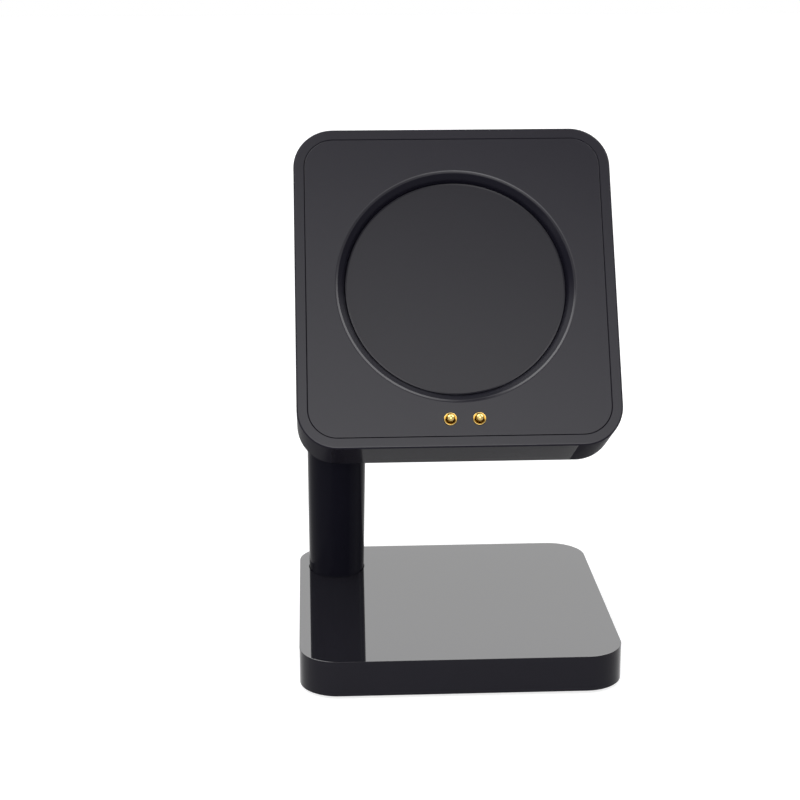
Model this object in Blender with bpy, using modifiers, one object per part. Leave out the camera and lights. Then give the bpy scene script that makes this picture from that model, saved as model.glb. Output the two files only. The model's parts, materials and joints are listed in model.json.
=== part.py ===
"""A watch charging dock: a square head with a round dish and two sprung contacts, tilted back
on a leaning round column that stands on a flat square base.

Metres, +Z up, front towards -Y. The origin is on the ground under the middle of the base.
Pieces of the head are drawn in face coordinates: x to the right, y up the face and z out of it,
with the face at z = 0. Pieces of the column are drawn with z along the column.
"""

import math

import bmesh
import bpy
from mathutils import Matrix, Vector

MM = 0.001

# Head: a square housing, open in front, with a face plate let into its rim
HEAD_WIDTH = 36.0 * MM
HEAD_HEIGHT = 37.1 * MM
HEAD_DEPTH = 8.0 * MM
HEAD_CORNER = 4.5 * MM
HEAD_TILT = math.radians(29.3)
FACE_CENTRE_Y = -4.2 * MM
FACE_CENTRE_Z = 43.6 * MM
RIM_WALL = 1.2 * MM
BACK_WALL = 1.2 * MM
FACE_THICKNESS = 1.5 * MM
EDGE_RADIUS = 0.15 * MM

# Dish for the round back of the watch
DISH_RADIUS = 13.08 * MM
DISH_LIP = 0.47 * MM
DISH_DEPTH = 1.2 * MM
DISH_FLOOR_RADIUS = 12.4 * MM
DISH_WALL = 1.2 * MM
DISH_FLOOR_WALL = 0.95 * MM
PAD_THICKNESS = 0.6 * MM

# Sprung contacts
PIN_PITCH = 3.2 * MM
PIN_PAIR_X = 0.45 * MM
PIN_BELOW_CENTRE = 15.4 * MM
PIN_TIP_RADIUS = 0.43 * MM
PIN_RISE = 1.0 * MM
PIN_TRAVEL = 0.6 * MM
COLLAR_RADIUS = 0.73 * MM
COLLAR_RISE = 0.4 * MM
BARREL_RADIUS = 1.0 * MM
BARREL_WALL = 0.2 * MM
BARREL_FLOOR_WALL = 0.3 * MM
MOUTH_LENGTH = 0.65 * MM
SHOULDER_LENGTH = 0.6 * MM
NUB_LENGTH = 0.4 * MM
SPRING_WIRE = 0.09 * MM
SPRING_TURNS = 4.5
SPRING_SPARE = 0.5 * MM

# Magnets behind the dish, and the board that the contacts are soldered to
MAGNET_RADIUS = 2.5 * MM
MAGNET_THICKNESS = 1.5 * MM
MAGNET_CIRCLE = 8.4 * MM
CUP_WALL = 0.7 * MM
HEAD_BOARD_WIDTH = 20.6 * MM
HEAD_BOARD_HEIGHT = 9.6 * MM
HEAD_BOARD_THICKNESS = 0.6 * MM
HEAD_BOARD_X = 2.6 * MM
HEAD_BOARD_CORNER = 1.0 * MM
POST_WALL = 0.7 * MM
BOARD_SCREW_LENGTH = 2.6 * MM
BOARD_SCREWS = [(-5.6 * MM, -15.3 * MM), (8.4 * MM, -14.7 * MM)]

# Snap hooks that hold the face plate
HOOK_WIDTH = 3.0 * MM
HOOK_THICKNESS = 0.9 * MM
HOOK_LENGTH = 2.9 * MM
HOOK_BARB = 0.5 * MM
HOOK_SIDE = 8.0 * MM
HOOK_SLACK = 0.1 * MM
CATCH_HEIGHT = 0.6 * MM
CATCH_REACH = 0.45 * MM

# Column
COLUMN_RADIUS = 3.4 * MM
COLUMN_BORE = 2.2 * MM
COLUMN_X = -13.5 * MM
COLUMN_FOOT_Y = 11.4 * MM
SOCKET_BELOW_CENTRE = 11.25 * MM
SOCKET_WALL = 1.3 * MM
SOCKET_RISE = 1.8 * MM
CROSS_PIN_RADIUS = 0.6 * MM
FLANGE_THICKNESS = 0.9 * MM
FLANGE_CORNER = 1.6 * MM
FLANGE_FRONT = 7.5 * MM
FLANGE_SIDE = 6.3 * MM
FLANGE_DROP = 0.7 * MM
FLANGE_SCREW_INSET = 1.9 * MM
FLANGE_SCREW_LEFT = 1.0 * MM
MITRE_GAP = 0.45 * MM

# Wires: half the distance between them in the base, in the column and at the head's board
WIRE_RADIUS = 0.4 * MM
WIRE_SPREAD = 0.6 * MM
WIRE_OFFSET = 1.35 * MM
WIRE_BOARD_INSET = 1.1 * MM
WIRE_END_X = -6.9 * MM
WIRE_END_Y = -13.1 * MM

# Base
BASE_WIDTH = 36.2 * MM
BASE_DEPTH = 36.4 * MM
BASE_THICKNESS = 4.1 * MM
BASE_CORNER = 4.4 * MM
BASE_WALL = 1.0 * MM
BASE_TOP_WALL = 0.9 * MM
COVER_RECESS = 0.4 * MM
COVER_THICKNESS = 0.7 * MM
SCREW_CUP_RISE = 0.5 * MM
SCREW_CUP_WALL = 0.6 * MM
FOOT_PAD_THICKNESS = 0.6 * MM
FOOT_PAD_PROUD = 0.4 * MM
BALLAST_THICKNESS = 1.2 * MM
BALLAST_INSET = 1.5 * MM
BASE_BOARD_WIDTH = 12.6 * MM
BASE_BOARD_LENGTH = 9.2 * MM
BASE_BOARD_THICKNESS = 0.8 * MM
BASE_BOARD_CORNER = 0.6 * MM

# Chips on the base board: left, right, distance from its front edge, length and rise
CHIPS = {
    "regulator": (1.6 * MM, 4.6 * MM, 1.3 * MM, 2.0 * MM, 0.7 * MM),
    "capacitor_front": (-1.0 * MM, 0.6 * MM, 0.9 * MM, 0.9 * MM, 0.6 * MM),
    "capacitor_rear": (-1.0 * MM, 0.6 * MM, 2.3 * MM, 0.9 * MM, 0.6 * MM),
}

# Power inlet in the rear edge of the base
INLET_WIDTH = 7.5 * MM
INLET_HEIGHT = 2.3 * MM
INLET_LENGTH = 5.0 * MM
INLET_WALL = 0.25 * MM
INLET_SETBACK = 0.15 * MM
INLET_RISE = 0.2 * MM
TONGUE_ROOT = 1.1 * MM
TONGUE_SETBACK = 0.7 * MM
TONGUE_THICKNESS = 0.6 * MM

# Screws
SCREW_RADIUS = 0.6 * MM
SCREW_HEAD_RADIUS = 1.35 * MM
SCREW_HEAD_HEIGHT = 0.45 * MM
SCREW_INSET = 4.9 * MM
BOSS_WALL = 0.9 * MM
SCREW_BEFORE_FLANGE = 3.3 * MM

# Clearances
SEAM = 0.15 * MM
FIT_GAP = 0.2 * MM
REST_GAP = 0.3 * MM
PIN_GAP = 0.08 * MM

# Points closer than this are one point
MERGE_DISTANCE = 0.001 * MM

# Steps round a circle
CORNER_STEPS = 8
DISH_STEPS = 64
COLUMN_STEPS = 40
SMALL_STEPS = 16
TINY_STEPS = 12
SPRING_STEPS = 8

# Heights above the ground and depths behind the face, worked out from the sizes above
BASE_BOTTOM = FOOT_PAD_PROUD
BASE_TOP = BASE_BOTTOM + BASE_THICKNESS
BASE_CEILING = BASE_TOP - BASE_TOP_WALL
SCREW_TIP = BASE_CEILING + BASE_TOP_WALL / 3
COVER_BOTTOM = BASE_BOTTOM + COVER_RECESS
COVER_TOP = COVER_BOTTOM + COVER_THICKNESS
BACK_INSIDE = BACK_WALL - HEAD_DEPTH
POCKET_WIDTH = HEAD_WIDTH - 2 * RIM_WALL
POCKET_HEIGHT = HEAD_HEIGHT - 2 * RIM_WALL
POCKET_CORNER = HEAD_CORNER - RIM_WALL
PAD_TOP = -DISH_DEPTH
PAD_SEAT = PAD_TOP - PAD_THICKNESS - SEAM
PAN_RADIUS = DISH_FLOOR_RADIUS + DISH_WALL
PAN_BACK = PAD_SEAT - DISH_FLOOR_WALL
PIN_Y = -PIN_BELOW_CENTRE
SHOULDER_TOP = -FACE_THICKNESS - MOUTH_LENGTH
SHOULDER_BOTTOM = SHOULDER_TOP - SHOULDER_LENGTH
SPRING_SOLID_LENGTH = 2 * SPRING_WIRE * (SPRING_TURNS + 1)
BARREL_FLOOR = SHOULDER_BOTTOM - SPRING_SOLID_LENGTH - PIN_TRAVEL - SPRING_SPARE
BARREL_BACK = BARREL_FLOOR - BARREL_FLOOR_WALL
BARREL_BORE = BARREL_RADIUS - BARREL_WALL
MOUTH_RADIUS = PIN_TIP_RADIUS + PIN_GAP
BOARD_FRONT = BARREL_BACK - FIT_GAP
BOARD_BACK = BOARD_FRONT - HEAD_BOARD_THICKNESS


def new_collection(name):
    collection = bpy.data.collections.new(name)
    bpy.context.scene.collection.children.link(collection)
    return collection


def clear_scene():
    for obj in list(bpy.data.objects):
        bpy.data.objects.remove(obj, do_unlink=True)


clear_scene()
DOCK = new_collection("watch_charging_dock")
TOOLS = new_collection("cutters")


def new_empty(name, matrix):
    """A frame that pieces are parented to."""
    empty = bpy.data.objects.new(name, None)
    empty.empty_display_size = 5 * MM
    empty.matrix_world = matrix
    DOCK.objects.link(empty)
    return empty


def socket_and_lean():
    """The head's frame, the column's foot, its lean and its free length."""
    head = Matrix.Translation((0, FACE_CENTRE_Y, FACE_CENTRE_Z)) @ Matrix.Rotation(
        math.pi / 2 - HEAD_TILT, 4, "X"
    )
    foot = Vector((COLUMN_X, COLUMN_FOOT_Y, BASE_TOP))
    socket = head @ Vector((COLUMN_X, -SOCKET_BELOW_CENTRE, -HEAD_DEPTH))
    run = socket - foot
    lean = math.atan2(-run.y, run.z)
    column = Matrix.Translation(foot) @ Matrix.Rotation(lean, 4, "X")
    return head, column, run.length


HEAD_FRAME, COLUMN_FRAME, COLUMN_FREE_LENGTH = socket_and_lean()
HEAD = new_empty("head_frame", HEAD_FRAME)
COLUMN = new_empty("column_frame", COLUMN_FRAME)
bpy.context.view_layer.update()


def material(name, colour, roughness, metallic=0.0):
    made = bpy.data.materials.new(name)
    made.use_nodes = True
    shader = made.node_tree.nodes["Principled BSDF"]
    shader.inputs["Base Color"].default_value = (*colour, 1.0)
    shader.inputs["Roughness"].default_value = roughness
    shader.inputs["Metallic"].default_value = metallic
    return made


GREY_PLASTIC = material("dark_grey_plastic", (0.045, 0.044, 0.050), 0.3)
BLACK_GLOSS = material("black_gloss_plastic", (0.012, 0.012, 0.016), 0.08)
PAD_GREY = material("dark_grey_pad", (0.042, 0.041, 0.047), 0.38)
INNER_BLACK = material("black_inner_plastic", (0.02, 0.02, 0.022), 0.55)
COLUMN_BLACK = material("black_lacquer", (0.010, 0.010, 0.015), 0.1)
GOLD = material("gold_plate", (0.83, 0.56, 0.2), 0.16, 1.0)
STEEL = material("steel", (0.55, 0.55, 0.56), 0.3, 1.0)
SPRING_STEEL = material("spring_steel", (0.6, 0.59, 0.57), 0.25, 1.0)
NICKEL = material("nickel_plate", (0.66, 0.65, 0.62), 0.22, 1.0)
BOARD_GREEN = material("board_green", (0.02, 0.12, 0.06), 0.4)
RED_SLEEVE = material("red_wire_sleeve", (0.45, 0.02, 0.02), 0.45)
BLACK_SLEEVE = material("black_wire_sleeve", (0.015, 0.015, 0.016), 0.45)
SILICONE = material("black_silicone", (0.02, 0.02, 0.02), 0.7)


def place(obj, parent=None, location=(0, 0, 0), rotation=(0, 0, 0)):
    obj.parent = parent
    obj.location = location
    obj.rotation_euler = rotation
    return obj


def piece(name, mesh, finish, parent=None, location=(0, 0, 0), rotation=(0, 0, 0)):
    """A part of the dock, shaded smooth across its round faces."""
    mesh.materials.clear()
    mesh.materials.append(finish)
    mesh.shade_smooth()
    mesh.set_sharp_from_angle(angle=math.radians(35))
    obj = bpy.data.objects.new(name, mesh)
    DOCK.objects.link(obj)
    return place(obj, parent, location, rotation)


def tool(name, mesh, parent=None, location=(0, 0, 0), rotation=(0, 0, 0)):
    """A shape that is only cut away from a part, or joined to it."""
    obj = bpy.data.objects.new(name, mesh)
    obj.hide_render = True
    obj.display_type = "WIRE"
    TOOLS.objects.link(obj)
    return place(obj, parent, location, rotation)


def combine(obj, operation, other):
    modifier = obj.modifiers.new(f"{operation.lower()}_{other.name}", "BOOLEAN")
    modifier.operation = operation
    modifier.solver = "EXACT"
    modifier.object = other


def cut(obj, *others):
    for other in others:
        combine(obj, "DIFFERENCE", other)


def join(obj, *others):
    for other in others:
        combine(obj, "UNION", other)


def round_edges(obj, radius, segments=2):
    modifier = obj.modifiers.new("edge_rounding", "BEVEL")
    modifier.width = radius
    modifier.segments = segments
    modifier.limit_method = "ANGLE"
    modifier.angle_limit = math.radians(40)
    modifier.miter_outer = "MITER_ARC"


def mesh_from(name, shape):
    mesh = bpy.data.meshes.new(name)
    shape.to_mesh(mesh)
    shape.free()
    return mesh


def block(name, low, high, corner=0.0, steps=CORNER_STEPS):
    """A box between two corners, with its four upright edges rounded to the given radius."""
    shape = bmesh.new()
    bmesh.ops.create_cube(shape, size=1.0)
    low, high = Vector(low), Vector(high)
    size, middle = high - low, (high + low) / 2
    bmesh.ops.scale(shape, vec=size, verts=shape.verts)
    bmesh.ops.translate(shape, vec=middle, verts=shape.verts)
    if corner > 0:
        upright = [
            edge
            for edge in shape.edges
            if abs(edge.verts[0].co.z - edge.verts[1].co.z) > size.z / 2
        ]
        bmesh.ops.bevel(
            shape, geom=upright, offset=corner, offset_type="OFFSET", segments=steps,
            profile=0.5, affect="EDGES",
        )
    return mesh_from(name, shape)


def slab(name, width, depth, corner, bottom, top, centre=(0, 0)):
    """A plate with rounded corners about a centre."""
    x, y = centre
    low = (x - width / 2, y - depth / 2, bottom)
    high = (x + width / 2, y + depth / 2, top)
    return block(name, low, high, corner)


def rod(name, radius, bottom, top, steps=SMALL_STEPS):
    """A round rod along z."""
    shape = bmesh.new()
    bmesh.ops.create_cone(
        shape, cap_ends=True, segments=steps, radius1=radius, radius2=radius,
        depth=top - bottom,
    )
    bmesh.ops.translate(shape, vec=(0, 0, (top + bottom) / 2), verts=shape.verts)
    return mesh_from(name, shape)


def evaluated_mesh(obj):
    graph = bpy.context.evaluated_depsgraph_get()
    return bpy.data.meshes.new_from_object(obj.evaluated_get(graph))


def turned(name, profile, steps):
    """A turned shape from a profile of (radius, height) that runs down its outer side."""
    line = bpy.data.meshes.new(name)
    points = [(radius, 0, height) for radius, height in profile]
    line.from_pydata(points, [(i, i + 1) for i in range(len(points) - 1)], [])
    obj = bpy.data.objects.new(name, line)
    TOOLS.objects.link(obj)
    screw = obj.modifiers.new("turn", "SCREW")
    screw.axis = "Z"
    screw.steps = steps
    screw.render_steps = steps
    screw.use_merge_vertices = True
    screw.merge_threshold = MERGE_DISTANCE
    mesh = evaluated_mesh(obj)
    bpy.data.objects.remove(obj, do_unlink=True)
    return mesh


def extrusion(name, outline, bottom, top):
    """A closed outline of (x, y) points, drawn out along z."""
    curve = bpy.data.curves.new(name, "CURVE")
    curve.dimensions = "2D"
    curve.fill_mode = "BOTH"
    curve.extrude = (top - bottom) / 2
    spline = curve.splines.new("POLY")
    spline.points.add(len(outline) - 1)
    for point, (x, y) in zip(spline.points, outline):
        point.co = (x, y, 0, 1)
    spline.use_cyclic_u = True
    obj = bpy.data.objects.new(name, curve)
    TOOLS.objects.link(obj)
    shape = bmesh.new()
    shape.from_mesh(evaluated_mesh(obj))
    bpy.data.objects.remove(obj, do_unlink=True)
    bmesh.ops.remove_doubles(shape, verts=shape.verts, dist=MERGE_DISTANCE)
    bmesh.ops.translate(shape, vec=(0, 0, (top + bottom) / 2), verts=shape.verts)
    return mesh_from(name, shape)


def wire(name, points, radius, finish, parent=None, location=(0, 0, 0)):
    """A round wire along a row of points, with flat ends."""
    curve = bpy.data.curves.new(name, "CURVE")
    curve.dimensions = "3D"
    curve.bevel_depth = radius
    curve.bevel_resolution = 2
    curve.use_fill_caps = True
    spline = curve.splines.new("POLY")
    spline.points.add(len(points) - 1)
    for point, place_at in zip(spline.points, points):
        point.co = (*place_at, 1)
    curve.materials.append(finish)
    obj = bpy.data.objects.new(name, curve)
    DOCK.objects.link(obj)
    return place(obj, parent, location)


def smooth_route(points, steps):
    """Points along a smooth curve through a row of points."""
    padded = [2 * points[0] - points[1], *points, 2 * points[-1] - points[-2]]
    route = []
    for before, start, end, after in zip(padded, padded[1:], padded[2:], padded[3:]):
        for i in range(steps):
            t = i / steps
            route.append(
                0.5
                * (
                    2 * start
                    + (end - before) * t
                    + (2 * before - 5 * start + 4 * end - after) * t**2
                    + (3 * start - before - 3 * end + after) * t**3
                )
            )
    return [*route, points[-1]]


def arc(centre, radii, start, end, steps):
    """Points of an elliptical arc, angles in degrees from the radius towards the height."""
    angles = [math.radians(start + (end - start) * i / steps) for i in range(steps + 1)]
    return [
        (centre[0] + radii[0] * math.cos(a), centre[1] + radii[1] * math.sin(a)) for a in angles
    ]


def rounded_outline(low, high, radii):
    """An outline with four round corners, from the front left one counterclockwise."""
    corners = [(low[0], low[1]), (high[0], low[1]), (high[0], high[1]), (low[0], high[1])]
    outline = []
    for i, ((x, y), radius) in enumerate(zip(corners, radii)):
        centre = (x + radius * (1, -1, -1, 1)[i], y + radius * (1, 1, -1, -1)[i])
        start = 180 + 90 * i
        outline += arc(centre, (radius, radius), start, start + 90, CORNER_STEPS)
    return outline


def screw_mesh(name, length):
    """A pan screw, head down, that runs up from z = 0 under its head, with a cross recess."""
    profile = [
        (0, length),
        (SCREW_RADIUS * 0.6, length),
        (SCREW_RADIUS, length - SCREW_RADIUS * 0.6),
        (SCREW_RADIUS, 0),
        (SCREW_HEAD_RADIUS, 0),
        (SCREW_HEAD_RADIUS, -SCREW_HEAD_HEIGHT * 0.7),
        (SCREW_HEAD_RADIUS * 0.85, -SCREW_HEAD_HEIGHT),
        (0, -SCREW_HEAD_HEIGHT),
    ]
    obj = bpy.data.objects.new(name, turned(name, profile, TINY_STEPS))
    TOOLS.objects.link(obj)
    slot = SCREW_HEAD_RADIUS * 0.6
    half = SCREW_HEAD_RADIUS * 0.13
    deep = SCREW_HEAD_HEIGHT
    for across in (0, 1):
        reach = (slot, half) if across else (half, slot)
        low = (-reach[0], -reach[1], -2 * deep)
        high = (reach[0], reach[1], -0.4 * deep)
        cut(obj, tool(f"{name}_recess_{across}", block(name, low, high)))
    mesh = evaluated_mesh(obj)
    for helper in [modifier.object for modifier in obj.modifiers]:
        bpy.data.objects.remove(helper, do_unlink=True)
    bpy.data.objects.remove(obj, do_unlink=True)
    return mesh


def walls_with_hooks():
    """Each hook's place: the angle of its wall, its place along it and the wall's distance."""
    side, end = POCKET_WIDTH / 2, POCKET_HEIGHT / 2
    lower = POCKET_WIDTH / 2 - POCKET_CORNER - HOOK_WIDTH / 2
    return [
        (0, -HOOK_SIDE, side),
        (0, HOOK_SIDE, side),
        (90, -HOOK_SIDE, end),
        (90, HOOK_SIDE, end),
        (180, -HOOK_SIDE, side),
        (270, lower, end),
    ]


def wall_rotation(angle):
    """Turns an outline of (outwards, out of the face) so that it stands on the wall."""
    upright = Matrix.Rotation(math.pi / 2, 4, "X")
    return (Matrix.Rotation(math.radians(angle), 4, "Z") @ upright).to_euler()


def along_wall(angle, along):
    return Matrix.Rotation(math.radians(angle), 3, "Z") @ Vector((0, along, 0))


HOOK_OUTSIDE = CATCH_REACH + SEAM + HOOK_SLACK
HOOK_TOP = -FACE_THICKNESS - HOOK_LENGTH + 2 * HOOK_BARB
CATCH_BOTTOM = HOOK_TOP + FIT_GAP


def column_hole(name):
    """The round hole that the column passes through, with a fine gap round it."""
    mesh = rod(name, COLUMN_RADIUS + SEAM, -BASE_THICKNESS, COLUMN_FREE_LENGTH + HEAD_DEPTH,
               COLUMN_STEPS)
    return tool(name, mesh, COLUMN)


CROSS_PIN_Z = BACK_INSIDE + SOCKET_RISE / 2


def cross_pin_place():
    """Where the pin crosses the column's axis, in face coordinates."""
    to_head = HEAD_FRAME.inverted() @ COLUMN_FRAME
    start = to_head @ Vector((0, 0, COLUMN_FREE_LENGTH))
    along = to_head.to_3x3() @ Vector((0, 0, 1))
    return start + along * ((CROSS_PIN_Z - start.z) / along.z)


CROSS_PIN_PLACE = cross_pin_place()
CROSS_PIN_LENGTH = COLUMN_RADIUS * 2 + SOCKET_WALL


def cross_pin_rod(name, radius, extra):
    """A rod along the cross pin's line, from the outer wall side to past the socket."""
    return rod(name, radius, -COLUMN_RADIUS - extra, CROSS_PIN_LENGTH - COLUMN_RADIUS + extra)


ALONG_X = (0, math.pi / 2, 0)


def head_housing():
    """The rear shell of the head: a tray with the column's socket and six snap catches."""
    outside = slab("head_housing", HEAD_WIDTH, HEAD_HEIGHT, HEAD_CORNER, -HEAD_DEPTH, 0)
    housing = piece("head_housing", outside, GREY_PLASTIC, HEAD)
    round_edges(housing, EDGE_RADIUS)
    cut(housing, tool("head_pocket", slab(
        "head_pocket", POCKET_WIDTH, POCKET_HEIGHT, POCKET_CORNER, BACK_INSIDE, HEAD_DEPTH), HEAD))

    sleeve = tool("socket_sleeve", rod(
        "socket_sleeve", COLUMN_RADIUS + SOCKET_WALL, COLUMN_FREE_LENGTH - HEAD_DEPTH,
        COLUMN_FREE_LENGTH + HEAD_DEPTH, COLUMN_STEPS), COLUMN)
    level = tool("socket_level", slab(
        "socket_level", HEAD_WIDTH - RIM_WALL, HEAD_HEIGHT - RIM_WALL, HEAD_CORNER,
        BACK_INSIDE - BACK_WALL / 2, BACK_INSIDE + SOCKET_RISE), HEAD)
    combine(sleeve, "INTERSECT", level)
    join(housing, sleeve)

    for i, (angle, along, wall) in enumerate(walls_with_hooks()):
        low = (wall - CATCH_REACH, along - HOOK_WIDTH / 2, CATCH_BOTTOM)
        high = (wall + RIM_WALL / 2, along + HOOK_WIDTH / 2, CATCH_BOTTOM + CATCH_HEIGHT)
        turn = (0, 0, math.radians(angle))
        join(housing, tool(f"catch_{i}", block("catch", low, high), HEAD, rotation=turn))

    cut(housing, column_hole("head_column_hole"))
    cut(housing, tool("cross_pin_hole", cross_pin_rod(
        "cross_pin_hole", CROSS_PIN_RADIUS + PIN_GAP, SEAM), HEAD, CROSS_PIN_PLACE, ALONG_X))


def dish_profile():
    """The dish's hollow: a rounded lip, a sloping wall and the pad's seat."""
    lip_centre = (DISH_RADIUS + DISH_LIP, -DISH_LIP)
    lip = arc(lip_centre, (DISH_LIP, DISH_LIP), 90, 180, 4)
    return [
        (0, HEAD_DEPTH),
        (DISH_RADIUS + DISH_LIP, HEAD_DEPTH),
        *lip,
        (DISH_FLOOR_RADIUS + (DISH_RADIUS - DISH_FLOOR_RADIUS) * 0.35, PAD_TOP * 0.8),
        (DISH_FLOOR_RADIUS, PAD_TOP - EDGE_RADIUS),
        (DISH_FLOOR_RADIUS, PAD_SEAT),
        (0, PAD_SEAT),
    ]


def pin_places():
    left = PIN_PAIR_X - PIN_PITCH / 2
    return {"left": (left, PIN_Y, 0), "right": (left + PIN_PITCH, PIN_Y, 0)}


def magnet_places():
    for i in range(4):
        angle = math.radians(45 + 90 * i)
        yield (MAGNET_CIRCLE * math.cos(angle), MAGNET_CIRCLE * math.sin(angle), 0)


def face_plate():
    """The front plate, with the dish, the contact holes, magnet cups, posts and snap hooks."""
    outside = slab("face_plate", POCKET_WIDTH - 2 * SEAM, POCKET_HEIGHT - 2 * SEAM,
                   POCKET_CORNER - SEAM, -FACE_THICKNESS, 0)
    plate = piece("face_plate", outside, GREY_PLASTIC, HEAD)
    join(plate, tool("dish_pan", rod(
        "dish_pan", PAN_RADIUS, PAN_BACK, -FACE_THICKNESS / 2, DISH_STEPS), HEAD))
    for i, at in enumerate(magnet_places()):
        join(plate, tool(f"cup_{i}", rod(
            "cup", MAGNET_RADIUS + FIT_GAP + CUP_WALL, PAN_BACK - MAGNET_THICKNESS,
            PAN_BACK + DISH_FLOOR_WALL / 2), HEAD, at))
    for i, at in enumerate(BOARD_SCREWS):
        join(plate, tool(f"post_{i}", rod(
            "post", SCREW_RADIUS + POST_WALL, BOARD_FRONT + FIT_GAP, -FACE_THICKNESS / 2),
            HEAD, (*at, 0)))
    for i, (angle, along, wall) in enumerate(walls_with_hooks()):
        outer = wall - HOOK_OUTSIDE
        inner = outer - HOOK_THICKNESS
        outline = [
            (inner, -FACE_THICKNESS / 2),
            (inner, -FACE_THICKNESS - HOOK_LENGTH),
            (outer - HOOK_BARB / 2, -FACE_THICKNESS - HOOK_LENGTH),
            (outer + HOOK_BARB, HOOK_TOP - HOOK_BARB),
            (outer + HOOK_BARB, HOOK_TOP),
            (outer, HOOK_TOP),
            (outer, -FACE_THICKNESS / 2),
        ]
        hook = extrusion("hook", outline, -HOOK_WIDTH / 2, HOOK_WIDTH / 2)
        join(plate, tool(f"hook_{i}", hook, HEAD, along_wall(angle, along), wall_rotation(angle)))
    cut(plate, tool("dish_hollow", turned("dish_hollow", dish_profile(), DISH_STEPS), HEAD))
    for i, at in enumerate(magnet_places()):
        cut(plate, tool(f"cup_hollow_{i}", rod(
            "cup_hollow", MAGNET_RADIUS + FIT_GAP, -HEAD_DEPTH, PAN_BACK), HEAD, at))
    for i, at in enumerate(BOARD_SCREWS):
        cut(plate, tool(f"post_hole_{i}", rod(
            "post_hole", SCREW_RADIUS + SEAM, -HEAD_DEPTH,
            BOARD_BACK + BOARD_SCREW_LENGTH + FIT_GAP, TINY_STEPS), HEAD, (*at, 0)))
    for side, at in pin_places().items():
        cut(plate, tool(f"contact_hole_{side}", rod(
            "contact_hole", COLLAR_RADIUS + PIN_GAP, -HEAD_DEPTH, HEAD_DEPTH), HEAD, at))


def dish_pad():
    """A thin round pad on the floor of the dish."""
    radius = DISH_FLOOR_RADIUS - SEAM
    bottom = PAD_TOP - PAD_THICKNESS
    edge = arc((radius - EDGE_RADIUS, PAD_TOP - EDGE_RADIUS), (EDGE_RADIUS, EDGE_RADIUS), 90, 0, 3)
    profile = [(0, PAD_TOP), *edge, (radius, bottom), (0, bottom)]
    piece("dish_pad", turned("dish_pad", profile, DISH_STEPS), PAD_GREY, HEAD)


def contact_barrels():
    """Each contact's barrel: a rounded collar in the face over a wider body, open at the mouth."""
    flange_top = -FACE_THICKNESS - SEAM
    collar = arc((MOUTH_RADIUS, COLLAR_RISE * 0.25),
                 (COLLAR_RADIUS - MOUTH_RADIUS, COLLAR_RISE * 0.75), 90, 0, 4)
    profile = [
        (0, BARREL_FLOOR),
        (BARREL_BORE, BARREL_FLOOR),
        (BARREL_BORE, SHOULDER_TOP + 2 * PIN_GAP),
        (MOUTH_RADIUS, SHOULDER_TOP + 2 * PIN_GAP + (BARREL_BORE - MOUTH_RADIUS) / 2),
        *collar,
        (COLLAR_RADIUS, flange_top),
        (BARREL_RADIUS, flange_top),
        (BARREL_RADIUS, BARREL_BACK),
        (0, BARREL_BACK),
    ]
    mesh = turned("contact_barrel", profile, SMALL_STEPS)
    for side, at in pin_places().items():
        piece(f"contact_barrel_{side}", mesh, GOLD, HEAD, at)


def contact_plungers():
    """Each contact's plunger: a domed tip, a shoulder kept in by the mouth, and a spring nub."""
    tip = arc((0, PIN_RISE - PIN_TIP_RADIUS), (PIN_TIP_RADIUS, PIN_TIP_RADIUS), 90, 0, 6)
    shoulder = BARREL_BORE - 1.5 * PIN_GAP
    nub = PIN_TIP_RADIUS - 2 * PIN_GAP
    nub_end = SHOULDER_BOTTOM - NUB_LENGTH
    profile = [
        (0, PIN_RISE),
        *tip[1:],
        (PIN_TIP_RADIUS, SHOULDER_TOP + PIN_GAP),
        (shoulder, SHOULDER_TOP - PIN_GAP),
        (shoulder, SHOULDER_BOTTOM),
        (nub, SHOULDER_BOTTOM),
        (nub, nub_end),
        (0, nub_end),
    ]
    mesh = turned("contact_plunger", profile, SMALL_STEPS)
    for side, at in pin_places().items():
        piece(f"contact_plunger_{side}", mesh, GOLD, HEAD, at)


def contact_springs():
    """The coil spring under each plunger."""
    low = BARREL_FLOOR + SPRING_WIRE + PIN_GAP
    high = SHOULDER_BOTTOM - SPRING_WIRE - PIN_GAP
    radius = BARREL_BORE - SPRING_WIRE - 2 * PIN_GAP
    count = round(SPRING_TURNS * SPRING_STEPS)
    points = []
    for i in range(count + 1):
        angle = 2 * math.pi * SPRING_TURNS * i / count
        height = low + (high - low) * i / count
        points.append((radius * math.cos(angle), radius * math.sin(angle), height))
    for side, at in pin_places().items():
        wire(f"contact_spring_{side}", points, SPRING_WIRE, SPRING_STEEL, HEAD, at)


def magnets():
    """Four round magnets in their cups behind the dish."""
    top = PAN_BACK - FIT_GAP
    mesh = rod("magnet", MAGNET_RADIUS, top - MAGNET_THICKNESS, top)
    for i, at in enumerate(magnet_places()):
        piece(f"magnet_{i + 1}", mesh, NICKEL, HEAD, at)


HEAD_BOARD_BOTTOM = -POCKET_HEIGHT / 2 + REST_GAP
HEAD_BOARD_Y = HEAD_BOARD_BOTTOM + HEAD_BOARD_HEIGHT / 2


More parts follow.
